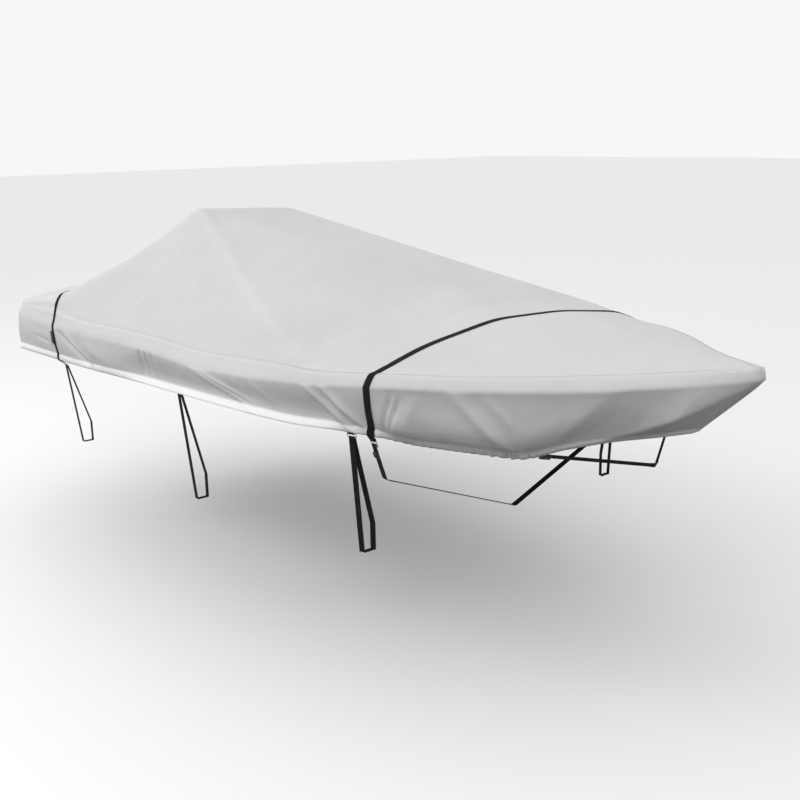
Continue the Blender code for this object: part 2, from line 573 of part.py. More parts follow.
def make_bow_strap(web, plastic):
    """Webbing from the starboard hem forward, round under the bow and back to the port hem."""
    hem, up, _ = hem_at(STARBOARD, BOW_STRAP_X)
    y, height = hem + np.array([up[1], -up[0]]) * (BEHIND_HEM + BEND_SLACK) + up * BOW_LAP
    start, end = np.array([BOW_STRAP_X, y, height]), np.array([BOW_TURN_X, -BOW_TURN_HALF, BOW_TURN_HEIGHT])
    run = unit(end - start)
    across = np.array(BOW_STRAP_ACROSS)
    across = unit(across - run * (across @ run))
    path = [start + (end - start) * k / 8 for k in range(9)]
    widths = [across] * 9
    for turn in (30, 60, 90):
        ahead, aside = math.sin(math.radians(turn)), 1 - math.cos(math.radians(turn))
        path.append(end + np.array([BOW_TURN_LENGTH * ahead, aside, 0]) * BOW_TURN_HALF)
        widths.append(unit(across * (1 - turn / 90) + np.array(BOW_TURN_ACROSS) * turn / 90))
    path, widths = np.array(path), np.array(widths)
    mirror = np.array([1, -1, 1])
    path = np.vstack([path, (path[:-1] * mirror)[::-1]])
    widths = np.vstack([widths, (widths[:-1] * mirror)[::-1]])
    lines = [path + widths * share * BOW_STRAP_WIDTH / 2 for share in (-1, 0, 1)]
    sheet("bow_strap", np.array(lines), web, WEB, 0.0)
    out = np.cross(across, run)
    centre = start + run * BOW_BUCKLE_AT + out * (WEB / 2 + GAP + BOW_BUCKLE[2] / 2)
    for side in (STARBOARD, PORT):
        flip = np.array([1, -side, 1])
        axes = (across * flip * -side, run * flip, out * flip)
        block(f"bow_buckle_{SIDE_NAMES[side]}", BOW_BUCKLE, BOW_BUCKLE_BEVEL, centre * flip, axes, plastic)


for old in list(bpy.data.objects):
    bpy.data.objects.remove(old, do_unlink=True)
COVER = bpy.data.collections.new("Boat cover")
bpy.context.scene.collection.children.link(COVER)
make_cloths(principled("Cover cloth", CLOTH_GREY, 0.85))
WEBBING = principled("Black webbing", WEB_BLACK, 0.7)
WIRES = principled("Plated wire", STEEL, 0.35, 1.0)
PLASTIC = principled("Black plastic", PLASTIC_BLACK, 0.45)
make_front_strap(WEBBING, WIRES, PLASTIC)
make_rear_strap(WEBBING, WIRES, PLASTIC)
make_hem_ties(WEBBING, WIRES)
make_bow_strap(WEBBING, PLASTIC)
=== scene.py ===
# %% [markdown]
# # A fitted cloth boat cover, as it lies when it is on
#
# The cover is three pieces of grey coated cloth: a top, and a long side round each half of it.
# Webbing over it and under it, and loops that hang from its hem, hold it down. The frame is the packed
# CAD part: +x points to the bow, +y to port, +z up, and the zero is just under the cloth beside the
# raised ridge. Heights in the tables are measured from the ground.

# %% Load the frame
import math

import bmesh
import bpy
import numpy as np
from mathutils import Matrix, Vector


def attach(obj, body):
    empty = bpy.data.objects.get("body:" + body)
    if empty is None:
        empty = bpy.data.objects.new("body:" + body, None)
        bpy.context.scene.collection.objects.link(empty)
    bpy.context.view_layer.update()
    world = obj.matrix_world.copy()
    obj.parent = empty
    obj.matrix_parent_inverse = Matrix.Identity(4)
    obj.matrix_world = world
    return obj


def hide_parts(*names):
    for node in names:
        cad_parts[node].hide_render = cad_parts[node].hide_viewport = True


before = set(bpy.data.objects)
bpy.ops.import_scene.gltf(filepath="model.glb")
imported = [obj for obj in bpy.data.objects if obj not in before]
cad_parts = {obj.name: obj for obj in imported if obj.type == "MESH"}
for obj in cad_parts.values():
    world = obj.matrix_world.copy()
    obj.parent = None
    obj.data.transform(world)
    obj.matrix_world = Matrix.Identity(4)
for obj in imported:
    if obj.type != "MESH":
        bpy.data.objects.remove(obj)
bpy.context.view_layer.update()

# %% [markdown]
# ## Sizes
#
# These are the driving sizes of the CAD source, so each new surface lies where its solid lies. Some
# were measured once more for the finer surfaces, and differ a little: the stern, the lean of the band,
# the hem, the tuck and the thickness. A side has a row for each station along the cover, and the top
# has a row for each section across it.

# %% Sizes of the cloth
HELD_HEIGHT = 1.715  # from the ground to the zero
STERN_X, CORNER_RADIUS = -1.648, 0.060
NOSE_X, NOSE_HALF = 2.643, 0.022
CLOTH = 0.0016  # thickness of the cloth
BAND_HEIGHT = 0.042  # from the edge fold up to the band's upper fold
SEAM_INBOARD = 0.011  # from the band's upper fold in to the seam
HEM_HEIGHT, HEM_FULLNESS, HEM_FLARE = 0.036, 0.004, 0.009  # how high it is, and how far it stands out
STERN_TUCK = 0.036  # how far the hem hangs inside the fold at the stern
SKIRT_SWELL = 0.008  # how far the skirt stands out between its fold and its hem
USUAL_DROP = 0.180  # the skirt's usual height, which turns a depth into metres
NOSE_POINTS = 3  # the outline's last points, which close the nose
STARBOARD, PORT = -1, 1
SIDE_NAMES = {STARBOARD: "starboard", PORT: "port"}

EDGE_FOLD = np.array([  # x, half breadth, fold height, band's lean, hem x, hem half breadth, hem height
    (-1.632, 0.988, 1.150, 0.016, -1.632, 0.988, 0.963),
    (-1.060, 1.002, 1.148, 0.012, -1.060, 0.972, 0.967),
    (-0.750, 1.004, 1.152, 0.012, -0.750, 0.970, 0.974),
    (-0.300, 1.003, 1.168, 0.015, -0.300, 0.972, 0.994),
    (0.100, 1.000, 1.173, 0.020, 0.100, 0.970, 1.007),
    (0.450, 0.983, 1.161, 0.021, 0.450, 0.958, 1.013),
    (0.800, 0.957, 1.171, 0.021, 0.790, 0.933, 1.015),
    (1.100, 0.922, 1.190, 0.021, 1.070, 0.885, 1.011),
    (1.350, 0.873, 1.209, 0.023, 1.320, 0.822, 1.019),
    (1.500, 0.828, 1.221, 0.026, 1.460, 0.763, 1.013),
    (1.700, 0.752, 1.234, 0.029, 1.630, 0.655, 0.985),
    (1.900, 0.640, 1.240, 0.030, 1.820, 0.548, 0.975),
    (2.050, 0.530, 1.245, 0.030, 1.940, 0.445, 0.961),
    (2.200, 0.405, 1.252, 0.030, 2.060, 0.335, 1.000),
    (2.350, 0.278, 1.266, 0.028, 2.170, 0.205, 1.027),
    (2.500, 0.158, 1.284, 0.023, 2.280, 0.110, 1.047),
    (2.600, 0.066, 1.298, 0.015, 2.350, 0.050, 1.060),
    (2.636, 0.032, 1.303, 0.008, 2.374, 0.030, 1.065),
])

TENT = np.array([  # x, near shoulder y, z, near crest y, z, far crest y, z, far shoulder y, z
    (-1.62, -0.930, 1.246, -0.68, 1.288, 0.45, 1.290, 0.930, 1.236),
    (-1.45, -0.950, 1.266, -0.60, 1.302, 0.50, 1.308, 0.880, 1.272),
    (-1.06, -0.955, 1.325, -0.30, 1.330, 0.30, 1.345, 0.610, 1.355),
    (-0.80, -0.890, 1.430, -0.30, 1.415, 0.15, 1.425, 0.460, 1.440),
    (-0.50, -0.815, 1.548, -0.35, 1.530, -0.05, 1.540, 0.240, 1.560),
    (-0.25, -0.750, 1.670, -0.45, 1.655, -0.20, 1.655, 0.050, 1.670),
    (0.00, -0.660, 1.822, -0.50, 1.812, -0.30, 1.803, -0.135, 1.792),
    (0.25, -0.705, 1.700, -0.52, 1.735, -0.25, 1.722, 0.020, 1.708),
    (0.59, -0.780, 1.510, -0.33, 1.645, -0.05, 1.615, 0.235, 1.590),
    (0.85, -0.830, 1.400, -0.17, 1.565, 0.10, 1.535, 0.400, 1.500),
    (1.10, -0.850, 1.295, -0.02, 1.485, 0.25, 1.450, 0.560, 1.420),
    (1.30, -0.700, 1.295, -0.05, 1.425, 0.32, 1.400, 0.680, 1.360),
    (1.47, -0.550, 1.338, -0.15, 1.398, 0.25, 1.385, 0.660, 1.335),
    (1.65, -0.460, 1.345, -0.12, 1.393, 0.20, 1.388, 0.520, 1.340),
    (2.00, -0.330, 1.335, -0.08, 1.374, 0.10, 1.372, 0.360, 1.330),
    (2.35, -0.150, 1.332, -0.05, 1.350, 0.05, 1.350, 0.160, 1.330),
    (2.66, -0.010, 1.336, -0.005, 1.336, 0.005, 1.336, 0.010, 1.336),
])
RIDGE_SOFTNESS, FORE_SOFTNESS, SECTION_SOFTNESS = 0.038, 0.130, 0.040
SOFTENING = (0.9, 1.45)  # between these the first softness becomes the second
STERN_WALL_SLOPE, STERN_SHOULDER = 3.2, 0.012  # the steep end of the top, and the rounding above it
WALL_PAST = 0.3  # where the steep end would stand this far above the top, only the top counts
EDGE_ROOM, IN_ORDER = 0.002, 1e-5  # the ridges stay so far from the edges, and from each other

# %% [markdown]
# ## Folds in the cloth
#
# Each fold is a straight run that fades at both ends. Where the cloth is slack it stands in a soft
# ridge, and beside the ridge it sinks. A row gives where a fold starts and ends, and how far it stands
# out (or sinks, if negative). On the sides a depth of 0 is the edge fold and 1 is the hem.

# %% Folds of the sides and of the top
SIDE_FOLDS = {
    STARBOARD: [  # x, depth, to x, to depth, how far it stands out, half width
        (-1.02, 0.00, -0.60, 0.98, -0.016, 0.022),
        (-0.96, -0.05, -0.56, 0.90, 0.008, 0.020),
        (-1.38, 0.40, -1.10, 0.50, -0.006, 0.012),
        (-0.75, 0.15, -0.30, 0.85, 0.005, 0.045),
        (-0.03, -0.10, -0.05, 0.85, -0.014, 0.013),
        (0.03, -0.10, 0.01, 0.75, -0.011, 0.010),
        (0.09, -0.10, 0.08, 0.50, -0.008, 0.010),
        (0.40, -0.05, 0.90, 1.00, 0.014, 0.016),
        (0.46, -0.05, 0.92, 0.85, 0.008, 0.012),
        (0.86, 0.05, 1.02, 0.75, 0.006, 0.018),
        (1.17, -0.10, 1.48, 1.20, 0.017, 0.014),
        (1.26, -0.10, 1.56, 1.20, 0.017, 0.014),
        (1.605, 0.00, 1.565, 1.05, -0.015, 0.011),
        (1.645, 0.05, 1.595, 0.95, -0.012, 0.012),
        (1.70, 0.10, 1.66, 0.95, 0.007, 0.026),
        (1.80, -0.05, 2.08, 1.05, 0.017, 0.016),
        (1.92, 0.05, 2.03, 0.50, 0.010, 0.012),
        (1.55, 0.25, 1.85, 0.85, -0.005, 0.030),
        (2.29, -0.05, 2.13, 1.05, 0.007, 0.026),
    ],
    PORT: [
        (-1.00, 0.10, -0.62, 0.95, -0.012, 0.026),
        (-0.40, 0.05, -0.10, 0.80, 0.006, 0.030),
        (0.30, 0.00, 0.72, 0.95, 0.013, 0.022),
        (1.10, -0.05, 1.40, 1.05, 0.013, 0.018),
        (1.19, -0.05, 1.48, 1.00, 0.010, 0.015),
        (1.60, 0.05, 1.56, 1.00, -0.008, 0.013),
        (1.75, 0.00, 2.00, 1.00, 0.013, 0.020),
    ],
}
TOP_FOLDS = [  # x, y, to x, to y, how far it stands up, half width
    (-0.03, -0.50, -0.50, -0.86, -0.003, 0.030),
    (-0.10, -0.60, 0.22, -0.97, 0.003, 0.018),
    (0.05, -0.56, 0.60, -0.30, 0.004, 0.025),
    (0.02, -0.60, 0.40, -0.62, -0.003, 0.020),
    (0.95, -0.85, 1.20, -0.80, -0.003, 0.014),
    (1.22, -0.81, 1.55, -0.69, -0.003, 0.012),
    (1.52, -0.56, 1.68, -0.40, 0.004, 0.010),
    (1.53, -0.51, 1.72, -0.43, 0.003, 0.008),
    (1.54, -0.60, 1.80, -0.47, -0.002, 0.012),
    (1.60, -0.62, 2.35, -0.22, -0.003, 0.012),
    (-1.50, -0.60, -1.00, -0.93, 0.003, 0.025),
    (-0.90, 0.50, -0.30, 0.20, 0.004, 0.030),
    (0.40, 0.60, 1.10, 0.62, 0.004, 0.030),
]


def folded(folds, ahead, aside):
    """Height of all folds at points (a, b): for each, deep * sin(pi t) * exp(-|c / half width|^1.5).

    t is the share of the way along the fold's run, clipped to 0..1, and c the distance off its line.
    """
    height = np.zeros(np.broadcast(ahead, aside).shape)
    for a0, b0, a1, b1, deep, half_width in folds:
        run, rise = a1 - a0, b1 - b0
        along = ((ahead - a0) * run + (aside - b0) * rise) / (run**2 + rise**2)
        off = ((ahead - a0) * rise - (aside - b0) * run) / math.hypot(run, rise)
        height += deep * np.sin(math.pi * np.clip(along, 0, 1)) * np.exp(-np.abs(off / half_width) ** 1.5)
    return height


print("folds, starboard, port and top:", len(SIDE_FOLDS[STARBOARD]), len(SIDE_FOLDS[PORT]), len(TOP_FOLDS))

# %% [markdown]
# ## Reading the tables
#
# Between two rows of a table a value runs on a cubic piece that never overshoots them, so the fold
# line and the hem are smooth curves, as stretched cloth makes them.

# %% Smooth readings of the tables


def smooth_columns(table, x):
    """Each column of a table at x: v = v0 (1+2t)(1-t)^2 + m0 h t (1-t)^2 + v1 (3-2t) t^2 - m1 h (1-t) t^2."""
    rows, values = table[:, 0], table[:, 1:]
    x = np.clip(np.atleast_1d(x), rows[0], rows[-1])
    steps = np.diff(rows)[:, None]
    rises = np.diff(values, axis=0) / steps
    same_way = rises[:-1] * rises[1:] > 0
    total = np.where(same_way, rises[:-1] + rises[1:], 1.0)
    slopes = np.zeros_like(values)
    slopes[1:-1] = np.where(same_way, 2 * rises[:-1] * rises[1:] / total, 0.0)
    slopes[0], slopes[-1] = rises[0], rises[-1]
    i = np.clip(np.searchsorted(rows, x, side="right") - 1, 0, len(rows) - 2)
    t = ((x - rows[i]) / (rows[i + 1] - rows[i]))[:, None]
    start = values[i] * (1 + 2 * t) * (1 - t) ** 2 + slopes[i] * steps[i] * t * (1 - t) ** 2
    end = values[i + 1] * (3 - 2 * t) * t**2 - slopes[i + 1] * steps[i] * (1 - t) * t**2
    return start + end


def straight_columns(table, x):
    """Each column of a table at x, on straight lines between its rows."""
    return np.column_stack([np.interp(x, table[:, 0], column) for column in table[:, 1:].T])


def softened(read, at, reach):
    """A reading averaged over its neighbourhood: sum of w_k f(x + o_k r) / sum of w_k, with w = 1 - |o|."""
    offsets = np.linspace(-0.9, 0.9, 9)
    weights = 1 - np.abs(offsets)
    return sum(w * read(at + o * reach) for o, w in zip(offsets, weights)) / weights.sum()


def half_breadth(x):
    """b(x) - R + sqrt(R^2 - c^2), where c is how far x is into the stern corner's arc of radius R."""
    into_corner = np.clip(CORNER_RADIUS - (x - STERN_X), 0.0, CORNER_RADIUS)
    return smooth_columns(EDGE_FOLD, x)[:, 0] - CORNER_RADIUS + np.sqrt(CORNER_RADIUS**2 - into_corner**2)


# %% [markdown]
# ## The height of the top
#
# The cloth is drawn tight over four ridges that run along it, with straight falls between them.
# A section across it is therefore straight lines through six points, rounded where they meet.

# %% Height of the top cloth


def broken_line(at, breaks, heights):
    """Straight lines through points, row by row: h0 + s0 (y - y0) + sum (s_k - s_(k-1)) max(0, y - y_k)."""
    slopes = np.diff(heights, axis=1) / np.diff(breaks, axis=1)
    turns = np.diff(slopes, axis=1, prepend=0.0)
    beyond = np.maximum(at[:, :, None] - breaks[:, None, :-1], 0.0)
    return heights[:, :1] + (beyond * turns[:, None, :]).sum(axis=2)


def top_height(x, y):
    """Height of the top cloth for n values of x and an n by m array of y."""
    fold_height, lean = smooth_columns(EDGE_FOLD, x)[:, 1:3].T
    edge_height = (fold_height + BAND_HEIGHT)[:, None]
    edge = (half_breadth(x) - lean)[:, None]
    ridges = softened(lambda at: straight_columns(TENT, at), x, SECTION_SOFTNESS)
    inner = np.clip(ridges[:, 0::2], EDGE_ROOM - edge, edge - EDGE_ROOM)
    inner = np.maximum.accumulate(inner + np.arange(4) * IN_ORDER, axis=1)
    breadths = np.hstack([-edge, inner, edge])
    heights = np.hstack([edge_height, ridges[:, 1::2], edge_height])
    softness = np.interp(x, SOFTENING, (RIDGE_SOFTNESS, FORE_SOFTNESS))[:, None]
    reach = np.minimum(np.maximum(edge - np.abs(y), 0.0), softness)
    tent = softened(lambda at: broken_line(at, breadths, heights), y, reach)
    wall = edge_height + (STERN_WALL_SLOPE * (x - STERN_X - lean))[:, None]
    lower = (tent + wall - np.sqrt((tent - wall) ** 2 + STERN_SHOULDER**2)) / 2
    return np.maximum(np.where(wall > tent + WALL_PAST, tent, lower), edge_height)


# %% [markdown]
# ## The line that the sides are sewn along
#
# A side runs from the middle of the stern, round the stern corner and along the edge fold to the nose.

# %% The outline in plan
STATION_STEP = 0.008
SPLAY_FROM, SPLAY_RUN = 1.8, 0.5  # aft of here the way out of a side is square to the cover's length


def stations_at(x):
    """Plan points (x, -b(x)) of the starboard edge fold and the unit way out of the cover, n = (b', -1)."""
    aside = STATION_STEP / 2
    slope = (half_breadth(x + aside) - half_breadth(x - aside)) / STATION_STEP
    slope *= np.clip((x - SPLAY_FROM) / SPLAY_RUN, 0.0, 1.0)
    out = np.column_stack([-slope, -np.ones_like(x)]) / np.hypot(1.0, slope)[:, None]
    return np.column_stack([x, -half_breadth(x)]), out


def starboard_outline():
    """Plan points and ways out, from the stern's middle to the nose's."""
    flat_half = half_breadth(np.array([STERN_X]))[0]
    across = np.linspace(0.0, flat_half, round(flat_half / STATION_STEP))
    stern_line = np.column_stack([np.full_like(across, STERN_X), -across])
    aft = np.tile([-1.0, 0.0], (len(across), 1))
    turn = np.radians(np.linspace(9, 81, 9))
    corner_out = np.column_stack([-np.cos(turn), -np.sin(turn)])
    corner = (STERN_X + CORNER_RADIUS, -flat_half) + corner_out * CORNER_RADIUS
    first, last = STERN_X + CORNER_RADIUS, EDGE_FOLD[-1, 0]
    run, run_out = stations_at(np.linspace(first, last, round((last - first) / STATION_STEP)))
    nose = np.column_stack([np.full(NOSE_POINTS, NOSE_X), np.linspace(-NOSE_HALF, 0.0, NOSE_POINTS)])
    ahead = np.tile([1.0, 0.0], (NOSE_POINTS, 1))
    return np.vstack([stern_line, corner, run, nose]), np.vstack([aft, corner_out, run_out, ahead])


plan, outward = starboard_outline()
outline_length = np.linalg.norm(np.diff(plan, axis=0), axis=1).sum()
print("outline points:", len(plan), "length, metres:", round(float(outline_length), 3))

# %% [markdown]
# ## The side cloths
#
# A side is one strip of cloth. Its upper edge is lapped over the top and sewn down, a narrow band runs
# from there to the edge fold, a skirt hangs below it, and the foot is turned up into a hem with
# elastic in it. Towards the bow the elastic gathers the hem into small ruffles. The rows below go down
# from the lapped edge to the hem, so the folds in the tables can be added to the skirt's rows alone.

# %% Ruffles of the hem and the belly under the bow
BAND_ROWS, SKIRT_ROWS, HEM_ROWS = 5, 26, 7
LAP, LAP_RISE = 0.008, CLOTH + 0.0004  # the sewn lap's width, and its outer face above the top's
LAP_FOOT, BAND_SWELL = 0.004, 0.008  # the lap's foot past the seam, and four times the band's bulge
RUFFLES_FROM, RUFFLES_IN, RUFFLES_TO, RUFFLES_OUT = 1.40, 0.08, 2.00, 0.04  # with the runs they fade over
RUFFLE, STRONG_RUFFLE, STRONG_FROM, STRONG_IN = 0.0040, 0.0085, 1.84, 0.05
LONG_WAVE, SHORT_WAVE = 0.029, 0.019
TUCK, TUCK_FROM, TUCK_TO = 0.025, -0.35, 1.40  # amidships the skirt is drawn in below its fold
FORE_BELLY, FORE_FROM = 0.042, 1.50  # forward of the front strap it stands out, most low down
TUCK_IN, TUCK_OUT, FORE_IN, BOW_IN = 0.4, 0.15, 0.12, 0.20  # the runs over which these come and go
CREASE = (  # a crease under the bow: x, and its depth there
    (2.00, 2.30, 2.40, 2.47, 2.56, 2.63),
    (0.96, 0.92, 0.82, 0.66, 0.42, 0.16),
)
CREASE_OUT, CREASE_SOFT, BOW_FROM, BOW_FROM_AT_HEM = 0.068, 0.20, 2.19, 2.03
LAP_AT_NOSE, BAND_AT_NOSE = 0.75, 0.85  # how much of the nose's width is left there
NEAR_MIDDLE = 0.15  # so close to the middle plane the forms of a skirt fade, and both sides meet


def ruffle(x):
    """Ruffles of the gathered hem: a(x) (sin(2 pi x / long) + 0.6 sin(2 pi x / short + 1))."""
    gathered = np.clip((x - RUFFLES_FROM) / RUFFLES_IN, 0, 1) * np.clip((RUFFLES_TO - x) / RUFFLES_OUT, 0, 1)
    strength = RUFFLE + (STRONG_RUFFLE - RUFFLE) * np.clip((x - STRONG_FROM) / STRONG_IN, 0, 1)
    waves = np.sin(2 * math.pi * x / LONG_WAVE) + 0.6 * np.sin(2 * math.pi * x / SHORT_WAVE + 1)
    return gathered * strength * waves


def ramp(x, start, run):
    """A smooth step from 0 to 1: t^2 (3 - 2 t), where t is the share of the run."""
    t = np.clip((x - start) / run, 0, 1)
    return t**2 * (3 - 2 * t)


def creased(x, depth):
    """A soft tent over the depth, about 4 c (1 - c) min(d / c, (1 - d) / (1 - c)), with c from CREASE."""
    crease = np.interp(x, *CREASE)
    above, below = depth / crease, (1 - depth) / (1 - crease)
    return 2 * crease * (1 - crease) * (above + below - np.sqrt((above - below) ** 2 + CREASE_SOFT**2))


def belly(x, depth):
    """How far the skirt stands out: s sin(pi d) - t(x) sin(pi d^1.6) + f(x) sin(pi d^1.8) + crease."""
    tuck = TUCK * ramp(x, TUCK_FROM, TUCK_IN) * (1 - ramp(x, TUCK_TO - TUCK_OUT, TUCK_OUT))
    at_bow = ramp(x, BOW_FROM + (BOW_FROM_AT_HEM - BOW_FROM) * depth, BOW_IN)
    fore = FORE_BELLY * ramp(x, FORE_FROM, FORE_IN) * (1 - at_bow)
    out = SKIRT_SWELL * np.sin(math.pi * depth) - tuck * np.sin(math.pi * depth**1.6)
    return out + fore * np.sin(math.pi * depth**1.8) + CREASE_OUT * at_bow * creased(x, depth)


# %% Lines of a side: lapped edge, band, fold and hem


def top_surface(x, y, half):
    """The top's height with its folds, which fade at the edge: h(x, y) + folds (1 - (y / half)^8)."""
    share = np.clip(np.abs(y) / np.maximum(np.abs(half), 0.01), 0, 1)
    return top_height(x[:, 0], y) + folded(TOP_FOLDS, x, y) * (1 - share**8)


def side_lines(plan, outward, side, at_nose):
    """The lapped edge, its foot, the band's upper fold, the edge fold and the hem, a point a station."""
    fold_height, lean, hem_x, hem_half, hem_height = smooth_columns(EDGE_FOLD, plan[:, 0])[:, 1:].T
    across = np.column_stack([outward, np.zeros(len(plan))])
    fold = np.column_stack([plan, fold_height])
    band_top = fold - across * lean[:, None] + (0, 0, BAND_HEIGHT)
    if at_nose:
        band_top[-NOSE_POINTS:, 1] *= BAND_AT_NOSE
    lapped = []
    for inboard in (SEAM_INBOARD + LAP, SEAM_INBOARD - LAP_FOOT):
        line = plan - outward * (lean + inboard)[:, None]
        if at_nose:
            line[-NOSE_POINTS:, 1] *= LAP_AT_NOSE
        height = top_surface(line[:, :1], -line[:, 1:] * side, plan[:, 1:])[:, 0] + LAP_RISE
        lapped.append(np.column_stack([line, height]))
    hem = fold - across * STERN_TUCK
    hem[:, 2] = hem_height
    sides = plan[:, 0] > STERN_X + CORNER_RADIUS - 1e-6
    hem[sides, 0], hem[sides, 1] = hem_x[sides], -hem_half[sides]
    if at_nose:
        hem[-NOSE_POINTS:, 0] += NOSE_X - EDGE_FOLD[-1, 0]
        hem[-NOSE_POINTS:, 1] = plan[-NOSE_POINTS:, 1]
    return *lapped, band_top, fold, hem, hem_x, across


# %% Points of a side


def side_points(side, plan, outward, at_nose=True):
    """Rows from the lapped edge to the hem; a skirt point is fold + (hem - fold) d + out (belly + folds)."""
    edge, foot, band_top, fold, hem, hem_x, across = side_lines(plan, outward, side, at_nose)
    off_middle = np.minimum(np.abs(plan[:, 1]) / NEAR_MIDDLE, 1.0)
    t = np.linspace(0, 1, BAND_ROWS)[:, None, None]
    rows = [edge[None], foot[None], band_top + (fold - band_top) * t + across * BAND_SWELL * t * (1 - t)]

    hem_share = HEM_HEIGHT / np.linalg.norm(hem - fold, axis=1)
    down = np.concatenate([np.linspace(0, 1, SKIRT_ROWS)[1:], np.linspace(1, 2, HEM_ROWS)[1:]])[:, None]
    depth = np.where(down < 1, down * (1 - hem_share), 1 - (2 - down) * hem_share)
    full = HEM_FULLNESS * np.sqrt(np.sin(math.pi * np.clip(down - 1, 0, 1)))
    folds = [(a, b * USUAL_DROP, c, d * USUAL_DROP, e, f) for a, b, c, d, e, f in SIDE_FOLDS[side]]
    full = full + HEM_FLARE * np.clip(down - 1, 0, 1)
    stands_out = belly(plan[:, 0], depth) + full + folded(folds, fold[:, 0], depth * USUAL_DROP)
    stands_out = (stands_out + ruffle(hem_x) * np.clip(depth * 3 - 2, 0, 1) ** 2) * off_middle
    rows.append(fold + (hem - fold) * depth[:, :, None] + across * stands_out[:, :, None])
    return np.concatenate(rows) * (1, -side, 1)


# %% [markdown]
# ## Making meshes
#
# Every soft piece is a surface on a grid of points. The grid keeps two lengths for each point, in
# metres, as its UV map, so that a weave or a row of stitches follows the surface and not the room.
# Blender could measure a UV by unwrapping, but lengths along the grid are exact and need no seams.

# %% Grids into meshes


def new_object(name, data):
    """An object in the scene."""
    obj = bpy.data.objects.new(name, data)
    bpy.context.scene.collection.objects.link(obj)
    return obj


def grid_faces(rows, columns, flip=False):
    """Quads (i, j), (i, j+1), (i+1, j+1), (i+1, j) of a grid."""
    index = np.arange(rows * columns).reshape(rows, columns)
    quads = np.stack([index[:-1, :-1], index[:-1, 1:], index[1:, 1:], index[1:, :-1]], axis=-1).reshape(-1, 4)
    return quads[:, ::-1] if flip else quads


def new_piece(name, patches, material, stands_for, flip=False, marks=None):
    """One object from patches, each a grid of points in the tables' heights and a grid of its UVs.

    Points that meet are welded, which closes seams and poles. The piece rides on the body and stands
    for the CAD nodes it is made over.
    """
    counts = np.cumsum([0] + [grid.shape[0] * grid.shape[1] for grid, _ in patches])
    quads = np.concatenate([grid_faces(*g.shape[:2], flip) + c for (g, _), c in zip(patches, counts)])
    points = np.concatenate([grid.reshape(-1, 3) for grid, _ in patches]) - (0, 0, HELD_HEIGHT)
    uvs = np.concatenate([uv.reshape(-1, 2) for _, uv in patches])
    mesh = bpy.data.meshes.new(name)
    mesh.from_pydata(points.tolist(), [], quads.tolist())
    mesh.uv_layers.new(name="Metres").data.foreach_set("uv", uvs[quads.ravel()].ravel())
    for mark, values in (marks or {}).items():
        layer = mesh.attributes.new(mark, "FLOAT", "POINT")
        layer.data.foreach_set("value", values.ravel().astype(np.float32))
    welded = bmesh.new()
    welded.from_mesh(mesh)
    bmesh.ops.remove_doubles(welded, verts=welded.verts, dist=1e-6)
    welded.to_mesh(mesh)
    welded.free()
    mesh.materials.append(material)
    mesh.shade_smooth()
    obj = new_object(name, mesh)
    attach(obj, "root")
    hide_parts(*stands_for)
    print(name, len(mesh.polygons), "faces")
    return obj


def thicken(obj):
    """Give a surface the thickness of the cloth, inwards."""
    solidify = obj.modifiers.new("Thickness", "SOLIDIFY")
    solidify.thickness, solidify.offset = CLOTH, -1.0


def grid_lengths(grid):
    """Metres along the rows and down the columns of a grid, as (u, v) for each point."""
    u = np.linalg.norm(np.diff(grid, axis=1, prepend=grid[:, :1]), axis=2).cumsum(axis=1)
    v = np.linalg.norm(np.diff(grid, axis=0, prepend=grid[:1]), axis=2).cumsum(axis=0)
    return np.stack([u, v], axis=-1)


# %% [markdown]
# ## Small tools for materials
#
# A material here is a few nodes: noise for slow changes of tone, sines of the UV lengths for threads,
# and Bump for relief that is too fine for the mesh.

# %% Tools for materials


def principled(name, colour, roughness, specular=0.5, metallic=0.0):
    """A new material with its tree and its shader."""
    material = bpy.data.materials.new(name)
    material.use_nodes = True
    shader = material.node_tree.nodes["Principled BSDF"]
    inputs = ("Base Color", "Roughness", "Specular IOR Level", "Metallic")
    for socket, value in zip(inputs, (colour, roughness, specular, metallic)):
        shader.inputs[socket].default_value = value
    return material, material.node_tree, shader


def feed(tree, shader, **outputs):
    """Link nodes' outputs to a shader's inputs, each named with _ for a space."""
    for socket, output in outputs.items():
        tree.links.new(output, shader.inputs[socket.replace("_", " ")])


def maths(tree, operation, *values):
    """A Math node's result; each value is a number or another node's output."""
    node = tree.nodes.new("ShaderNodeMath")
    node.operation = operation
    for socket, value in zip(node.inputs, values):
        if isinstance(value, (int, float)):
            socket.default_value = value
        else:
            tree.links.new(value, socket)
    return node.outputs["Value"]


def noise(tree, scale, detail=3.0):
    """Cloudy values between 0 and 1, on Object coordinates."""
    place, cloud = tree.nodes.new("ShaderNodeTexCoord"), tree.nodes.new("ShaderNodeTexNoise")
    cloud.inputs["Scale"].default_value, cloud.inputs["Detail"].default_value = scale, detail
    tree.links.new(place.outputs["Object"], cloud.inputs["Vector"])
    return cloud.outputs["Fac"]


def mark_value(tree, name):
    """A value that the mesh keeps for each of its points."""
    node = tree.nodes.new("ShaderNodeAttribute")
    node.attribute_name = name
    return node.outputs["Fac"]


def uv_lengths(tree):
    """The two lengths of the piece's own UV map."""
    split = tree.nodes.new("ShaderNodeSeparateXYZ")
    place = tree.nodes.new("ShaderNodeUVMap")
    place.uv_map = "Metres"
    tree.links.new(place.outputs["UV"], split.inputs["Vector"])
    return split.outputs["X"], split.outputs["Y"]


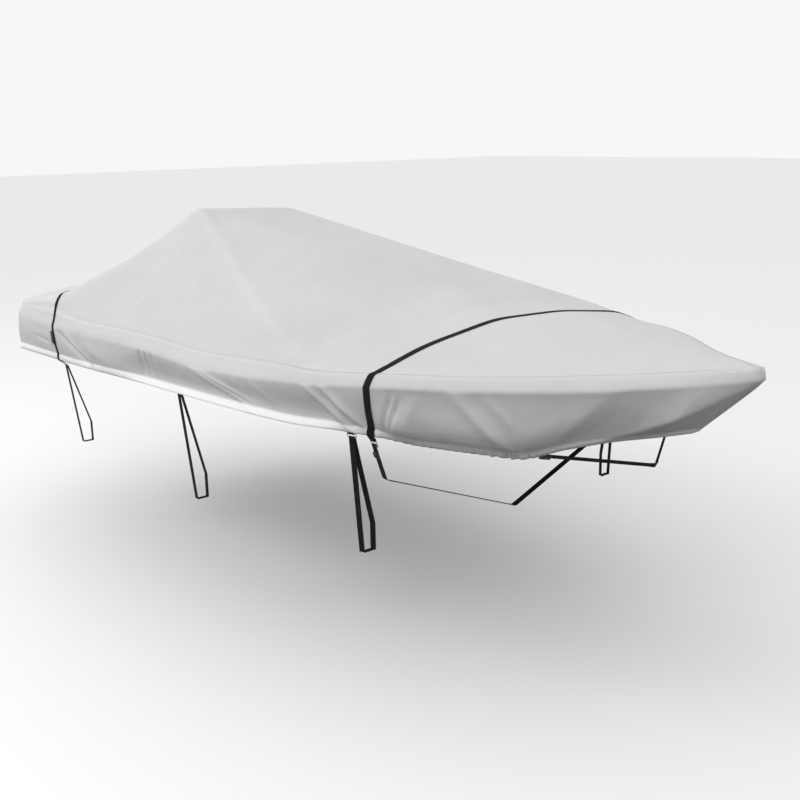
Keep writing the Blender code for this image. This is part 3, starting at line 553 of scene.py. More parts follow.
def spread(tree, value, low, high, to_low, to_high):
    """Map Range: low..high becomes to_low..to_high, and stays within them."""
    node = tree.nodes.new("ShaderNodeMapRange")
    for socket, number in zip(list(node.inputs)[1:5], (low, high, to_low, to_high)):
        socket.default_value = number
    tree.links.new(value, node.inputs["Value"])
    return node.outputs["Result"]


def between(tree, share, first, second):
    """A colour between two; each is a colour or another node's output."""
    node = tree.nodes.new("ShaderNodeMix")
    node.data_type = "RGBA"
    tree.links.new(share, node.inputs["Factor"])
    for socket, colour in ((node.inputs[6], first), (node.inputs[7], second)):
        if isinstance(colour, tuple):
            socket.default_value = colour
        else:
            tree.links.new(colour, socket)
    return node.outputs[2]


def relief(tree, height, distance, onto=None):
    """A Bump node, which may stand on another one."""
    node = tree.nodes.new("ShaderNodeBump")
    node.inputs["Distance"].default_value = distance
    tree.links.new(height, node.inputs["Height"])
    if onto is not None:
        tree.links.new(onto, node.inputs["Normal"])
    return node.outputs["Normal"]


def threads(tree, u, v, across, along):
    """A plain weave between 0 and 1: (1 + sin(2 pi u / across) sin(2 pi v / along)) / 2."""
    weft = maths(tree, "SINE", maths(tree, "MULTIPLY", u, 2 * math.pi / across))
    warp = maths(tree, "SINE", maths(tree, "MULTIPLY", v, 2 * math.pi / along))
    return maths(tree, "MULTIPLY_ADD", maths(tree, "MULTIPLY", weft, warp), 0.5, 0.5)


# %% [markdown]
# ## Cloth material
#
# The cloth is a grey woven polyester with a matt coating. It is a little soiled in wide patches. The
# turned hem, which is two layers thick, is painted much lighter, as a painted highlight for the light
# that it catches. Rows of stitches run along the lap and the hem: they follow the lengths in the UV
# map, so they keep their size round corners. The threads are relief on the surface, and soft creases
# of a hand's breadth are a larger relief under them.

# %% Grey coated cloth
CLOTH_GREY, SOILED_GREY = (0.60, 0.60, 0.605, 1), (0.55, 0.545, 0.535, 1)
# the hem's pale grey is a painted highlight where the turned hem catches light; the thread grey is the
# stitches' own colour
HEM_HIGHLIGHT_GREY, THREAD_GREY = (0.90, 0.90, 0.905, 1), (0.50, 0.50, 0.51, 1)
THREAD = 0.0014  # from one thread of the weave to the next
STITCH, STITCH_WIDTH, STITCH_SHARE = 0.0045, 0.0009, 0.62
LAP_ROWS, HEM_STITCH = (0.003, 0.009), HEM_HEIGHT - 0.003


def stitch_row(tree, distance, at, u):
    """1 on a stitch and 0 off it: |distance - at| < width / 2, on a share of each stitch's length."""
    near = maths(tree, "COMPARE", distance, at, STITCH_WIDTH / 2)
    on = maths(tree, "LESS_THAN", maths(tree, "FRACT", maths(tree, "DIVIDE", u, STITCH)), STITCH_SHARE)
    return maths(tree, "MULTIPLY", near, on)


def cloth_material():
    """Patches of soil, the hem's painted highlight and the stitches in its colour; creases, threads and
    stitches in relief.
    """
    material, tree, shader = principled("Grey coated cloth", CLOTH_GREY, 0.78, 0.35)
    shader.inputs["Sheen Weight"].default_value = 0.12
    u, v = uv_lengths(tree)
    from_seam, up_from_hem = mark_value(tree, "from_seam"), mark_value(tree, "up_from_hem")
    soiled = spread(tree, noise(tree, 1.6, 4.0), 0.40, 0.75, 0.0, 0.8)
    colour = between(tree, soiled, CLOTH_GREY, SOILED_GREY)
    # painted highlight: the hem is painted pale, instead of being lit brighter
    painted_hem_highlight = spread(tree, up_from_hem, HEM_HEIGHT - 0.002, HEM_HEIGHT + 0.002, 1.0, 0.0)
    colour = between(tree, painted_hem_highlight, colour, HEM_HIGHLIGHT_GREY)
    stitches = stitch_row(tree, up_from_hem, HEM_STITCH, u)
    for at in LAP_ROWS:
        stitches = maths(tree, "MAXIMUM", stitches, stitch_row(tree, from_seam, at, u))
    colour = between(tree, stitches, colour, THREAD_GREY)
    roughness = spread(tree, noise(tree, 5.0), 0.3, 0.7, 0.70, 0.86)
    creases = relief(tree, noise(tree, 7.0, 6.0), 0.010)
    weave = relief(tree, threads(tree, u, v, THREAD, THREAD), 0.00012, creases)
    feed(tree, shader, Base_Color=colour, Roughness=roughness, Normal=relief(tree, stitches, 0.0005, weave))
    return material


CLOTH_MATERIAL = cloth_material()
print("cloth nodes:", len(CLOTH_MATERIAL.node_tree.nodes))

# %% [markdown]
# ## The side cloths as pieces
#
# Both sides are the same surface with their own folds, and the port one is mirrored in its points, so
# no object carries a negative scale. Solidify gives them the thickness of the cloth, inwards, because
# the tables give the outer face.

# %% Make the sides
side_pieces = {}
for side in (STARBOARD, PORT):
    grid = side_points(side, plan, outward)
    lengths = grid_lengths(grid)
    down = lengths[:, :, 1]
    marks = {"from_seam": down, "up_from_hem": down[-1:] - down}
    name = SIDE_NAMES[side]
    side_pieces[side] = new_piece(
        f"cover_side_{name}", [(grid, lengths)], CLOTH_MATERIAL, [f"side_panel_{name}"],
        flip=side == STARBOARD, marks=marks,
    )
    thicken(side_pieces[side])

# %% [markdown]
# ## The top cloth
#
# The top is one sheet from the stern to the bow, and its edge lies under the lap of the sides. Its
# points stand closer together near the edges, where the surface turns most.

# %% Make the top
TOP_ACROSS, TOP_ALONG, TOP_ROUND_CORNER = 141, 300, 11
CROWDING = 0.9  # 0 spaces the points evenly across, 1 crowds them most at the edges


def top_points():
    """Rows across the cover, the first ones round the stern corners: y = share * seam half breadth."""
    from_x, to_x = STERN_X + CORNER_RADIUS, EDGE_FOLD[-1, 0]
    line, out = stations_at(np.linspace(from_x, to_x, TOP_ALONG))
    lean = smooth_columns(EDGE_FOLD, line[:, 0])[:, 2]
    seam = line - out * (lean + SEAM_INBOARD)[:, None]
    corner = CORNER_RADIUS - lean[0] - SEAM_INBOARD
    turned = np.linspace(0.01, math.pi / 2, TOP_ROUND_CORNER + 1)[:-1]
    corner_x, corner_y = from_x - corner * np.cos(turned), seam[0, 1] + corner * (1 - np.sin(turned))
    seam = np.vstack([np.column_stack([corner_x, corner_y]), seam])
    turns = np.linspace(-1, 1, TOP_ACROSS) * math.pi / 2 * CROWDING
    y = -seam[:, 1:] * (np.sin(turns) / math.sin(turns[-1]))
    x = np.repeat(seam[:, :1], TOP_ACROSS, axis=1)
    return np.stack([x, y, top_surface(x, y, seam[:, 1:])], axis=-1)


top = top_points()
far_off = np.ones(top.shape[:2])
top_piece = new_piece(
    "cover_top", [(top, grid_lengths(top))], CLOTH_MATERIAL, ["top_panel"],
    flip=True, marks={"from_seam": far_off, "up_from_hem": far_off},
)
thicken(top_piece)

# %% [markdown]
# ## The sizes of the cloths
#
# Each cloth's area and the size that it was cut to are printed.
# A side is as long as its hem before the elastic draws it in, and as wide as its deepest place, under
# the bow. Neither cloth is a rectangle, so their areas are given too.


def sheet_area(grid):
    """The area of a grid of points: half the cross products of the quads' diagonals."""
    first, second = grid[1:, 1:] - grid[:-1, :-1], grid[1:, :-1] - grid[:-1, 1:]
    return np.linalg.norm(np.cross(first, second), axis=2).sum() / 2


for name, grid in (("top", top), ("side", side_points(STARBOARD, plan, outward))):
    longest = grid_lengths(grid).max(axis=(0, 1)).round(3)
    print(name, "area:", round(sheet_area(grid), 3), "longest ways, metres:", longest)

# %% [markdown]
# ## Carrying a profile along a path
#
# A strap, a wire ring and the frame of a moulded slider are each one profile carried along a line.
# The line comes with a direction across it, so a band lies flat on the cloth and turns over a bar
# without a twist. A curve object with a bevel would be quicker, but its twist is harder to rule.

# %% A profile along a path
WEB, GAP = 0.0018, 0.0004  # thickness of the webbing, and the air between two pieces that touch


def unit(vectors):
    """Each vector divided by its length."""
    vectors = np.asarray(vectors, float)
    return vectors / np.linalg.norm(vectors, axis=-1, keepdims=True)


def distances(path):
    """How far each point is along a path."""
    return np.concatenate([[0], np.linalg.norm(np.diff(path[:, :3], axis=0), axis=1).cumsum()])


def oval(width, thickness, squareness=0.5, count=20):
    """A flat oval: (w/2 sgn(cos t) |cos t|^q, h/2 sgn(sin t) |sin t|^q); q = 1 is an ellipse."""
    turn = np.linspace(0, 2 * math.pi, count + 1)
    wide, high = np.cos(turn), np.sin(turn)
    wide, high = np.sign(wide) * np.abs(wide) ** squareness, np.sign(high) * np.abs(high) ** squareness
    profile = np.column_stack([wide * width / 2, high * thickness / 2])
    profile[-1] = profile[0]
    return profile


def carried(path, across, profile, closed=False, sizes=None):
    """p(s, t) = m(s) + a(s) x(t) + n(s) y(t), n = T cross a; sizes scale x and y along the path."""
    across = np.broadcast_to(across, path.shape)
    if closed:
        along = np.roll(path, -1, axis=0) - np.roll(path, 1, axis=0)
        path, across, along = (np.vstack([a, a[:1]]) for a in (path, across, along))
    else:
        along = np.gradient(path, axis=0)
    along = unit(along)
    across = unit(across - along * (across * along).sum(axis=1, keepdims=True))
    normal = np.cross(along, across)
    scaled = profile[None] * (np.ones((len(path), 1, 2)) if sizes is None else np.asarray(sizes)[:, None])
    grid = path[:, None] + across[:, None] * scaled[:, :, :1] + normal[:, None] * scaled[:, :, 1:]
    v = distances(path)
    if not closed:
        ends = np.repeat(path[[0, -1], None], len(profile), axis=1)
        grid, v = np.concatenate([ends[:1], grid, ends[1:]]), np.concatenate([[0], v, v[-1:]])
    u = distances(np.column_stack([profile, np.zeros(len(profile))]))
    return grid, np.stack(np.broadcast_arrays(u[None], v[:, None]), axis=-1)


# %% [markdown]
# ## Paths with rounded corners
#
# Webbing goes round a bar in an arc, and a wire is bent with a radius. Two ways of drawing such a path
# are enough: through corners that are rounded, and as a belt round a few bars.

# %% Rounded paths and belts
ARC_STEPS = 7


def rounded(corners, radius, closed):
    """A path through corners, each turned on an arc about c + (b + a) r / sin(half the angle)."""
    corners, points = np.array(corners, float), []
    for before, corner, after in zip(np.roll(corners, 1, 0), corners, np.roll(corners, -1, 0)):
        back, ahead = unit(before - corner), unit(after - corner)
        half = math.acos(np.clip(back @ ahead, -1, 1)) / 2
        middle = corner + unit(back + ahead) * radius / math.sin(half)
        first = corner + back * radius / math.tan(half) - middle
        last = corner + ahead * radius / math.tan(half) - middle
        shares = np.linspace(0, 1, ARC_STEPS + 1)[:, None]
        points.append(middle + unit(first * (1 - shares) + last * shares) * radius)
    if not closed:
        points[0], points[-1] = corners[:1], corners[-1:]
    return np.concatenate(points)


def belt(bars, radius):
    """A closed path in a plane round round bars: p = bar + r (cos a, sin a) between two headings."""
    bars = np.array(bars, float)
    following = np.roll(bars, -1, 0)
    area = np.sum(bars[:, 0] * following[:, 1] - bars[:, 1] * following[:, 0])
    headings = np.arctan2(*(following - bars).T[::-1])
    points = []
    for before, bar, heading in zip(np.roll(headings, 1), bars, headings):
        turn = (heading - before + math.pi) % (2 * math.pi) - math.pi
        angles = before - math.copysign(math.pi / 2, area) + turn * np.linspace(0, 1, ARC_STEPS + 1)
        points.append(bar + radius * np.column_stack([np.cos(angles), np.sin(angles)]))
    return np.concatenate(points)


def filled_in(path, step, closed=False):
    """The path with more points on its long straight pieces, and its close points kept."""
    ends = np.vstack([path, path[:1]]) if closed else path
    pieces = []
    for start, end in zip(ends[:-1], ends[1:]):
        parts = max(1, math.ceil(np.linalg.norm(end - start) / step))
        pieces.append(start + (end - start) * np.linspace(0, 1, parts + 1)[:-1, None])
    return np.concatenate(pieces if closed else pieces + [path[-1:]])


# %% [markdown]
# ## Webbing, wire and plastic materials
#
# The webbing is black polypropylene: ribs run across it, and fine threads along it. It is a little
# greyed by dust, in patches. The rings are zinc-plated wire, which dulls unevenly. The buckles are
# moulded black plastic with a fine grain.

# %% Webbing, wire and plastic
RIB, RIB_THREAD = 0.0024, 0.0020  # from rib to rib, and from thread to thread


def webbing_material():
    """Dust in patches over black, painted shade between the ribs, and ribs and threads in relief."""
    material, tree, shader = principled("Black webbing", (0.009, 0.009, 0.010, 1), 0.80, 0.15)
    u, v = uv_lengths(tree)
    weave = threads(tree, u, v, RIB_THREAD, RIB)
    dusty = spread(tree, noise(tree, 22.0, 5.0), 0.45, 0.75, 0.0, 0.7)
    colour = between(tree, dusty, (0.009, 0.009, 0.010, 1), (0.026, 0.025, 0.024, 1))
    # painted shade: the black is darkened further in the hollows between the ribs
    painted_rib_shade = maths(tree, "MULTIPLY", maths(tree, "SUBTRACT", 1.0, weave), 0.5)
    colour = between(tree, painted_rib_shade, colour, (0.004, 0.004, 0.004, 1))
    feed(tree, shader, Base_Color=colour, Normal=relief(tree, weave, 0.0005))
    return material


def worn_material(plain, fresh, worn, wear, most, dulling, grain):
    """A hard surface whose tone and roughness change with its wear, in cloudy patches.

    plain goes to principled(), wear is a cloud's scale and detail and the values between which it
    becomes 0 to most, dulling the roughness at both ends, and grain a fine cloud's scale and relief.
    """
    material, tree, shader = principled(*plain)
    patches = spread(tree, noise(tree, *wear[:2]), *wear[2:], 0.0, most)
    colour, roughness = between(tree, patches, fresh, worn), spread(tree, patches, 0.0, most, *dulling)
    normal = relief(tree, noise(tree, grain[0], 2.0), grain[1])
    feed(tree, shader, Base_Color=colour, Roughness=roughness, Normal=normal)
    return material


WEB_MATERIAL = webbing_material()
WIRE_MATERIAL = worn_material(
    ("Zinc-plated wire", (0.50, 0.50, 0.51, 1), 0.35, 0.5, 1.0), (0.55, 0.55, 0.56, 1),
    (0.33, 0.33, 0.33, 1), (60.0, 4.0, 0.35, 0.70), 1.0, (0.28, 0.55), (900.0, 0.00006),
)
PLASTIC_MATERIAL = worn_material(
    ("Moulded black plastic", (0.012, 0.012, 0.013, 1), 0.50, 0.3), (0.011, 0.011, 0.012, 1),
    (0.035, 0.035, 0.035, 1), (90.0, 5.0, 0.50, 0.75), 0.6, (0.38, 0.60), (1500.0, 0.00010),
)
print("small materials:", WEB_MATERIAL.name, WIRE_MATERIAL.name, PLASTIC_MATERIAL.name, sep="; ")

# %% [markdown]
# ## A piece of webbing
#
# All the webbing is the same flat woven band with nearly square edges, in four widths. So one function
# carries its section along any path, and only the width changes from piece to piece.

# %% A piece of webbing
WEB_SQUARENESS, WEB_STEP = 0.35, 0.010  # a nearly square edge, and the longest piece of its path


def webbing(name, node, path, ways, width, closed=False):
    """One piece of webbing, with its flat laid along the ways across its path."""
    band = carried(path, ways, oval(width, WEB, WEB_SQUARENESS), closed)
    new_piece(f"webbing_{name}", [band], WEB_MATERIAL, [node])


# %% [markdown]
# ## Rings
#
# Straps meet the webbing below them in oblong rings of bent wire. A ring hangs below a hem, between
# the end of the webbing above, which is folded round its upper bar and sewn to itself, and the loop
# below, which goes round its lower bar.

# %% A wire ring
WIRE, WIRE_STEP = 0.0022, 0.004  # radius of the wire, and the longest piece of its path
WRAP = WIRE + GAP + WEB / 2  # from a bar's middle to the middle of the webbing round it
FOLDED_LENGTH = 0.010  # how far folded webbing goes on beyond its bar
RING_HALF_WIDTH, RING_DROP, RING_CORNER = 0.0195, 0.018, 0.005  # drop: from bar to bar


class Ring:
    """A ring's frame of reference, in (y, height), and its wire."""

    def __init__(self, name, side, x, base, towards, to_bar, drop, slant=0.0):
        """Its upper bar hangs to_bar below a base, along the way towards another point."""
        self.down = unit(np.subtract(towards, base))
        self.out = np.array([-side * self.down[1], side * self.down[0]])
        self.upper = base + self.down * to_bar - self.out * WRAP
        self.lower = self.upper + self.down * drop
        half = RING_HALF_WIDTH
        aside, below = rounded([(-half, 0), (half, 0), (half, drop), (-half, drop)], RING_CORNER, True).T
        y, height = (self.upper + np.outer(below, self.down)).T
        path = np.column_stack([x + aside, y + slant * aside, height])
        flat = (0.0, *self.out)
        wire = carried(filled_in(path, WIRE_STEP, True), flat, oval(2 * WIRE, 2 * WIRE, 1.0, 16), closed=True)
        new_piece(f"wire_{name}", [wire], WIRE_MATERIAL, [name])

    def round_bar(self, bar, first, last):
        """Points round a bar, from one angle to another: 0 is outward and 90 is down."""
        turns = np.radians(np.linspace(first, last, 2 * ARC_STEPS))
        return bar + WRAP * (np.outer(np.cos(turns), self.out) + np.outer(np.sin(turns), self.down))

    def folded_end(self):
        """Upper webbing's last points: round the upper bar from its outer side and up behind it."""
        arc = self.round_bar(self.upper, 0, 180)
        return np.vstack([arc, arc[-1] - self.down * FOLDED_LENGTH])

    def hooked_start(self):
        """Lower webbing's first points: up behind the lower bar, over it and down its outer side."""
        arc = self.round_bar(self.lower, 180, 360)
        return np.vstack([arc[0] + self.down * FOLDED_LENGTH, arc])


# %% [markdown]
# ## Where a strap lies on the cloth
#
# A strap over the cover follows the cloth from hem to hem. Its way across is taken from two lines of
# the cloth at its edges, and its middle is lifted until no point of the cloth between them shows
# through, because a taut strap bridges a hollow and does not sink into it.

# %% The cloth's line under a strap
STRAPS = {"front": (1.503, 0.030), "rear": (-1.060, 0.024)}  # x, width
ON_CLOTH = GAP + WEB / 2 + 0.0004  # from the cloth's outer face to the middle of webbing on it
STRAP_POINTS, OVER_POINTS = 440, 241


def cloth_line(x):
    """The cloth from the starboard hem over the top to the port hem, at one station."""
    spot, out = stations_at(np.array([x]))
    starboard = side_points(STARBOARD, spot, out, False)[:, 0]
    port = side_points(PORT, spot, out, False)[:, 0]
    reach = np.linspace(starboard[0, 1], port[0, 1], OVER_POINTS)[1:-1]
    heights = top_surface(np.full((1, 1), x), reach[None], spot[:, 1:])[0]
    over = np.column_stack([np.full_like(reach, x), reach, heights])
    path = np.vstack([starboard[::-1], over, port])
    length = distances(path)
    return straight_columns(np.column_stack([length, path]), np.linspace(0, length[-1], STRAP_POINTS))


def over_cloth(place, height):
    """The middle line of a strap that lies on the cloth, the way across it and the way out of the cloth."""
    x, width = STRAPS[place]
    lines = np.array([cloth_line(x + aside * width / 2) for aside in (-1, -0.5, 0, 0.5, 1)])
    across = unit(lines[-1] - lines[0])
    middle = (lines[0] + lines[-1]) / 2
    out = np.cross(across, unit(np.gradient(middle, axis=0)))
    lift = np.maximum(((lines - middle) * out).sum(axis=2).max(axis=0), 0.0)
    return middle + out * (lift + height)[:, None], across, out


# %% [markdown]
# ## The strap over the bow
#
# It lies over the fore part and down both sides to the hem, and ends in a ring on each side. A second
# piece of webbing runs underneath from ring to ring, with a slider on the starboard side to tighten it.

# %% Make the front strap
UNDER_BEND_HALF, UNDER_BEND_HEIGHT = 0.716, 0.826  # where the under-run turns inboard
UNDER_BEND_RADIUS, UNDER_LOWEST = 0.030, 0.548  # of its bends, and the height under the middle
FRONT_RING_BELOW = 0.016  # from the hem to the ring's upper bar


def strap_over(rings, middle, across):
    """The strap's line with both ends folded round their rings, and its ways across."""
    first = np.insert(rings[STARBOARD].folded_end(), 0, middle[0, 0], axis=1)
    last = np.insert(rings[PORT].folded_end(), 0, middle[-1, 0], axis=1)
    path = np.vstack([first[::-1], middle, last])
    square = np.tile([1.0, 0.0, 0.0], (len(first), 1))
    return path, np.vstack([square, across, square])


middle, across, _ = over_cloth("front", ON_CLOTH)
front_x = middle[0, 0]
bend = (UNDER_BEND_HALF, UNDER_BEND_HEIGHT)
front_rings = {
    side: Ring(
        f"front_ring_{SIDE_NAMES[side]}", side, front_x, middle[k, 1:], (side * bend[0], bend[1]),
        FRONT_RING_BELOW, RING_DROP,
    )
    for side, k in ((STARBOARD, 0), (PORT, -1))
}
front_width = STRAPS["front"][1]
webbing("front_over", "front_strap_over", *strap_over(front_rings, middle, across), front_width)

starts = {side: ring.hooked_start() for side, ring in front_rings.items()}
bends = [(-bend[0], bend[1]), (0, UNDER_LOWEST), bend]
below = rounded([starts[STARBOARD][-1], *bends, starts[PORT][-1]], UNDER_BEND_RADIUS, False)
path = np.insert(np.vstack([starts[STARBOARD], below[1:-1], starts[PORT][::-1]]), 0, front_x, axis=1)
webbing("front_under", "front_strap_under", filled_in(path, WEB_STEP), (1, 0, 0), front_width)

# %% [markdown]
# ## Loops that hang from the hem
#
# Three loops of webbing hang on each side, to be pulled down and tied. Each is a closed band, sewn to
# itself, that goes round a head bar, and hangs to a foot that is 50 mm wide. The rear ones hang in
# long rings at the ends of the rear strap, the middle ones are sewn behind the hem, and the front
# ones hang in rings on short tabs.

# %% Make a hanging loop
TIE_WIDTH, TIE_LAP = 0.026, 0.035  # of the loops' webbing, and of a tab behind the hem
MIDDLE_LAP, MIDDLE_INWARDS = 0.024, 0.010  # a middle loop's lap, and how much further in it lies
TIE_DOWNS = {  # x, then the loop's outer and inner half breadth at its foot, its foot, where it turns up
    "rear": (-1.060, 0.885, 0.835, 0.487, 0.590),
    "middle": (0.250, 0.893, 0.843, 0.482, 0.590),
    "front": (1.360, 0.757, 0.707, 0.506, 0.615),
}


def tie_webbing(name, node, path, x, slant, closed=False):
    """Webbing on a path of (y, height) points, with its flat along the cover."""
    path = filled_in(np.insert(path, 0, x, axis=1), WEB_STEP, closed)
    webbing(name, node, path, (1.0, slant, 0.0), TIE_WIDTH, closed)


def hanging_loop(side, place, head, slant=0.0):
    """A closed loop of webbing from a head bar in (y, height) down to its foot."""
    x, outer, inner, foot, upper = TIE_DOWNS[place]
    bars = [head] + [(side * y, height) for y, height in ((outer, foot), (inner, foot), (inner, upper))]
    name = f"{place}_{SIDE_NAMES[side]}"
    tie_webbing(f"loop_{name}", f"tie_down_{name}", belt(bars, WRAP), x, slant, closed=True)


# %% [markdown]
# ## The strap over the stern
#
# It is narrower, and lies over the stern quarter. Its ends hold long rings, and the rear loops hang in
# those. A side-release buckle sits low on the starboard side, and the strap's free end lies on it
# higher up.

# %% Make the rear strap and its loops
OTHER_RINGS_BELOW, REAR_RING_DROP = 0.012, 0.040  # from the hem to a ring's upper bar, and on to its lower
REAR_LINK_HALF, REAR_LINK_HEIGHT = 0.912, 0.900  # a point that the rear rings point at
TAIL_FROM, TAIL_TO = 0.30, 0.44  # the free end's reach along the strap
TAIL_ASIDE, TAIL_UP = 0.012, 0.010  # how far its tip lies aside, and stands up

rear_x, rear_width = STRAPS["rear"]
middle, across, out = over_cloth("rear", ON_CLOTH)
rear_rings = {}
for side, k in ((STARBOARD, 0), (PORT, -1)):
    rear_rings[side] = Ring(
        f"rear_ring_{SIDE_NAMES[side]}", side, rear_x, middle[k, 1:],
        (side * REAR_LINK_HALF, REAR_LINK_HEIGHT), OTHER_RINGS_BELOW, REAR_RING_DROP,
    )
    hanging_loop(side, "rear", rear_rings[side].lower)
webbing("rear_over", "rear_strap_over", *strap_over(rear_rings, middle, across), rear_width)

up_the_strap = distances(middle)
on_it = (up_the_strap > TAIL_FROM) & (up_the_strap < TAIL_TO)
share = np.linspace(0, 1, on_it.sum())[:, None]
tail = middle[on_it] + out[on_it] * (WEB + GAP + TAIL_UP * share**3) + across[on_it] * TAIL_ASIDE * share
webbing("rear_tail", "rear_strap_tail", tail, across[on_it], rear_width)

# %% [markdown]
# ## Loops and tabs at the hem
#
# The middle loops are sewn behind the hem. The skirt tucks in above its hem there, so their heads lie
# a little further in. A tab is a short doubled piece, sewn behind the hem over 35 mm, that carries a
# ring, and the front loop hangs in it.

# %% Make the middle and front loops
BEHIND_HEM = CLOTH + GAP + WEB / 2 + 0.0008  # from the hem's outer face to the middle of webbing behind it


def hem_at(side, x):
    """(y, height) of the hem at x, the unit ways up the skirt and inwards, and how y changes with x."""
    steps = np.interp(x + np.array([-TIE_WIDTH, 0, TIE_WIDTH]) / 2, EDGE_FOLD[:, 4], EDGE_FOLD[:, 0])
    rows = smooth_columns(EDGE_FOLD, steps)
    breadth, fold_height, _, _, hem_half, hem_height = rows[1]
    up = unit((side * (breadth - hem_half), fold_height - hem_height))
    inwards, slant = np.array([-side * up[1], side * up[0]]), side * (rows[2, 4] - rows[0, 4]) / TIE_WIDTH
    return np.array([side * hem_half, hem_height]), up, inwards, slant


for side in (STARBOARD, PORT):
    x, outer, _, foot, _ = TIE_DOWNS["middle"]
    hem, _, inwards, slant = hem_at(side, x)
    through = hem + inwards * (BEHIND_HEM + WRAP + MIDDLE_INWARDS)
    head = through + unit(through - (side * (outer - WRAP), foot + WRAP)) * MIDDLE_LAP
    hanging_loop(side, "middle", head, slant)

    x = TIE_DOWNS["front"][0]
    hem, up, inwards, slant = hem_at(side, x)
    base = hem + inwards * BEHIND_HEM
    name = SIDE_NAMES[side]
    ring = Ring(f"tie_ring_{name}", side, x, base, base - up, OTHER_RINGS_BELOW, RING_DROP, slant)
    tab = np.vstack([base + up * TIE_LAP, ring.folded_end()])
    tie_webbing(f"tab_{name}", f"hem_tab_{name}", tab, x, slant)
    hanging_loop(side, "front", ring.lower, slant)

# %% [markdown]
# ## The strap round the bow
#
# Webbing leaves the starboard hem, runs forward and down, turns round under the bow and comes back to
# the port hem. It turns over as it goes, so its way across changes along it.

# %% Make the bow strap
BOW_STRAP_WIDTH, BOW_STRAP_X, BOW_LAP = 0.022, 1.975, 0.008  # where it leaves the hem, and its lap
BOW_STRAP_ACROSS = np.array([-0.25, 0.62, -0.74])  # its way across at the hem
BOW_TURN_X, BOW_TURN_HALF, BOW_TURN_HEIGHT = 2.205, 0.016, 0.905  # where it turns under the bow
BOW_TURN_ACROSS, BOW_TURN_LENGTH = (-0.35, 0, -0.94), 0.6  # the turn's length in its half widths

hem, up, inwards, _ = hem_at(STARBOARD, BOW_STRAP_X)
start = np.array([BOW_STRAP_X, *hem + inwards * BEHIND_HEM + up * BOW_LAP])
end = np.array([BOW_TURN_X, -BOW_TURN_HALF, BOW_TURN_HEIGHT])
bow_run = unit(end - start)
bow_across = unit(BOW_STRAP_ACROSS - bow_run * (BOW_STRAP_ACROSS @ bow_run))
turn = np.radians(np.linspace(0, 90, 10))[:, None]
arc = end + np.hstack([BOW_TURN_LENGTH * np.sin(turn), 1 - np.cos(turn), 0 * turn]) * BOW_TURN_HALF
straight = start + (end - start) * np.linspace(0, 1, 50)[:-1, None]
half = np.vstack([straight, arc])
turned = np.concatenate([np.zeros(len(straight)), np.linspace(0, 1, len(arc))])[:, None]
half_ways = bow_across * (1 - turned) + unit(BOW_TURN_ACROSS) * turned
mirror = np.array([1, -1, 1])
path = np.vstack([half, (half[:-1] * mirror)[::-1]])
ways = np.vstack([half_ways, (half_ways[:-1] * mirror)[::-1]])
webbing("bow", "bow_strap", path, ways, BOW_STRAP_WIDTH)

# %% [markdown]
# ## Moulded buckles
#
# A slider is a flat frame with a bar across it. A side-release buckle is two bodies, one inside the
# other, with a springy prong on each side. Each part is a rounded profile carried along a short line,
# and its width changes along the line.

# %% Make the slider and the buckles
MOULD_STEP = 0.003  # longest straight piece of a frame's path


def moulded(name, node, patches, centre, axes):
    """A piece from patches drawn about zero and laid along three axes: p = centre + x a + y b + z c."""
    patches = [(grid @ np.array(axes, float) + centre, uv) for grid, uv in patches]
    new_piece(f"plastic_{name}", patches, PLASTIC_MATERIAL, [node])


def rectangle(width, length):
    """The corners of a rectangle about the zero."""
    return np.array([(-1, -1), (1, -1), (1, 1), (-1, 1)]) * (width / 2, length / 2)


def frame_and_bar(width, height, thickness, bars):
    """A rounded frame in its own x and z, and round bars across it at some heights."""
    x, z = rounded(rectangle(width - thickness, height - thickness), thickness * 0.8, True).T
    ring = filled_in(np.column_stack([x, 0 * x, z]), MOULD_STEP, True)
    patches = [carried(ring, (0, 1, 0), oval(thickness, thickness, 0.6, 16), closed=True)]
    for at in bars:
        reach = (width - thickness) / 2
        line = np.column_stack([np.linspace(-reach, reach, 9), np.zeros(9), np.full(9, at)])
        patches.append(carried(line, (0, 1, 0), oval(thickness * 0.8, thickness * 0.7, 0.8, 16)))
    return patches


def body(stations):
    """A moulded body along its own z: a row gives z, the middle's x, half width and half thickness."""
    z, x, half_width, half_thickness = np.array(stations, float).T
    line = np.column_stack([x, 0 * z, z])
    sizes = np.column_stack([half_width, half_thickness])
    return carried(line, (1, 0, 0), oval(2, 2, 0.6, 28), sizes=sizes)


SLIDER_WIDTH, SLIDER_HEIGHT, SLIDER_THICK = 0.037, 0.028, 0.005
SLIDER_DROP = 0.045  # from the ring's lower bar to its middle
ring = front_rings[STARBOARD]
centre = ring.lower + ring.down * SLIDER_DROP + ring.out * (WRAP + WEB / 2 + GAP + SLIDER_THICK / 2)
moulded(
    "front_slider", "front_slider_starboard",
    frame_and_bar(SLIDER_WIDTH, SLIDER_HEIGHT, SLIDER_THICK, (0.0,)),
    (front_x, *centre), ((1, 0, 0), (0, *-ring.out), (0, *-ring.down)),
)

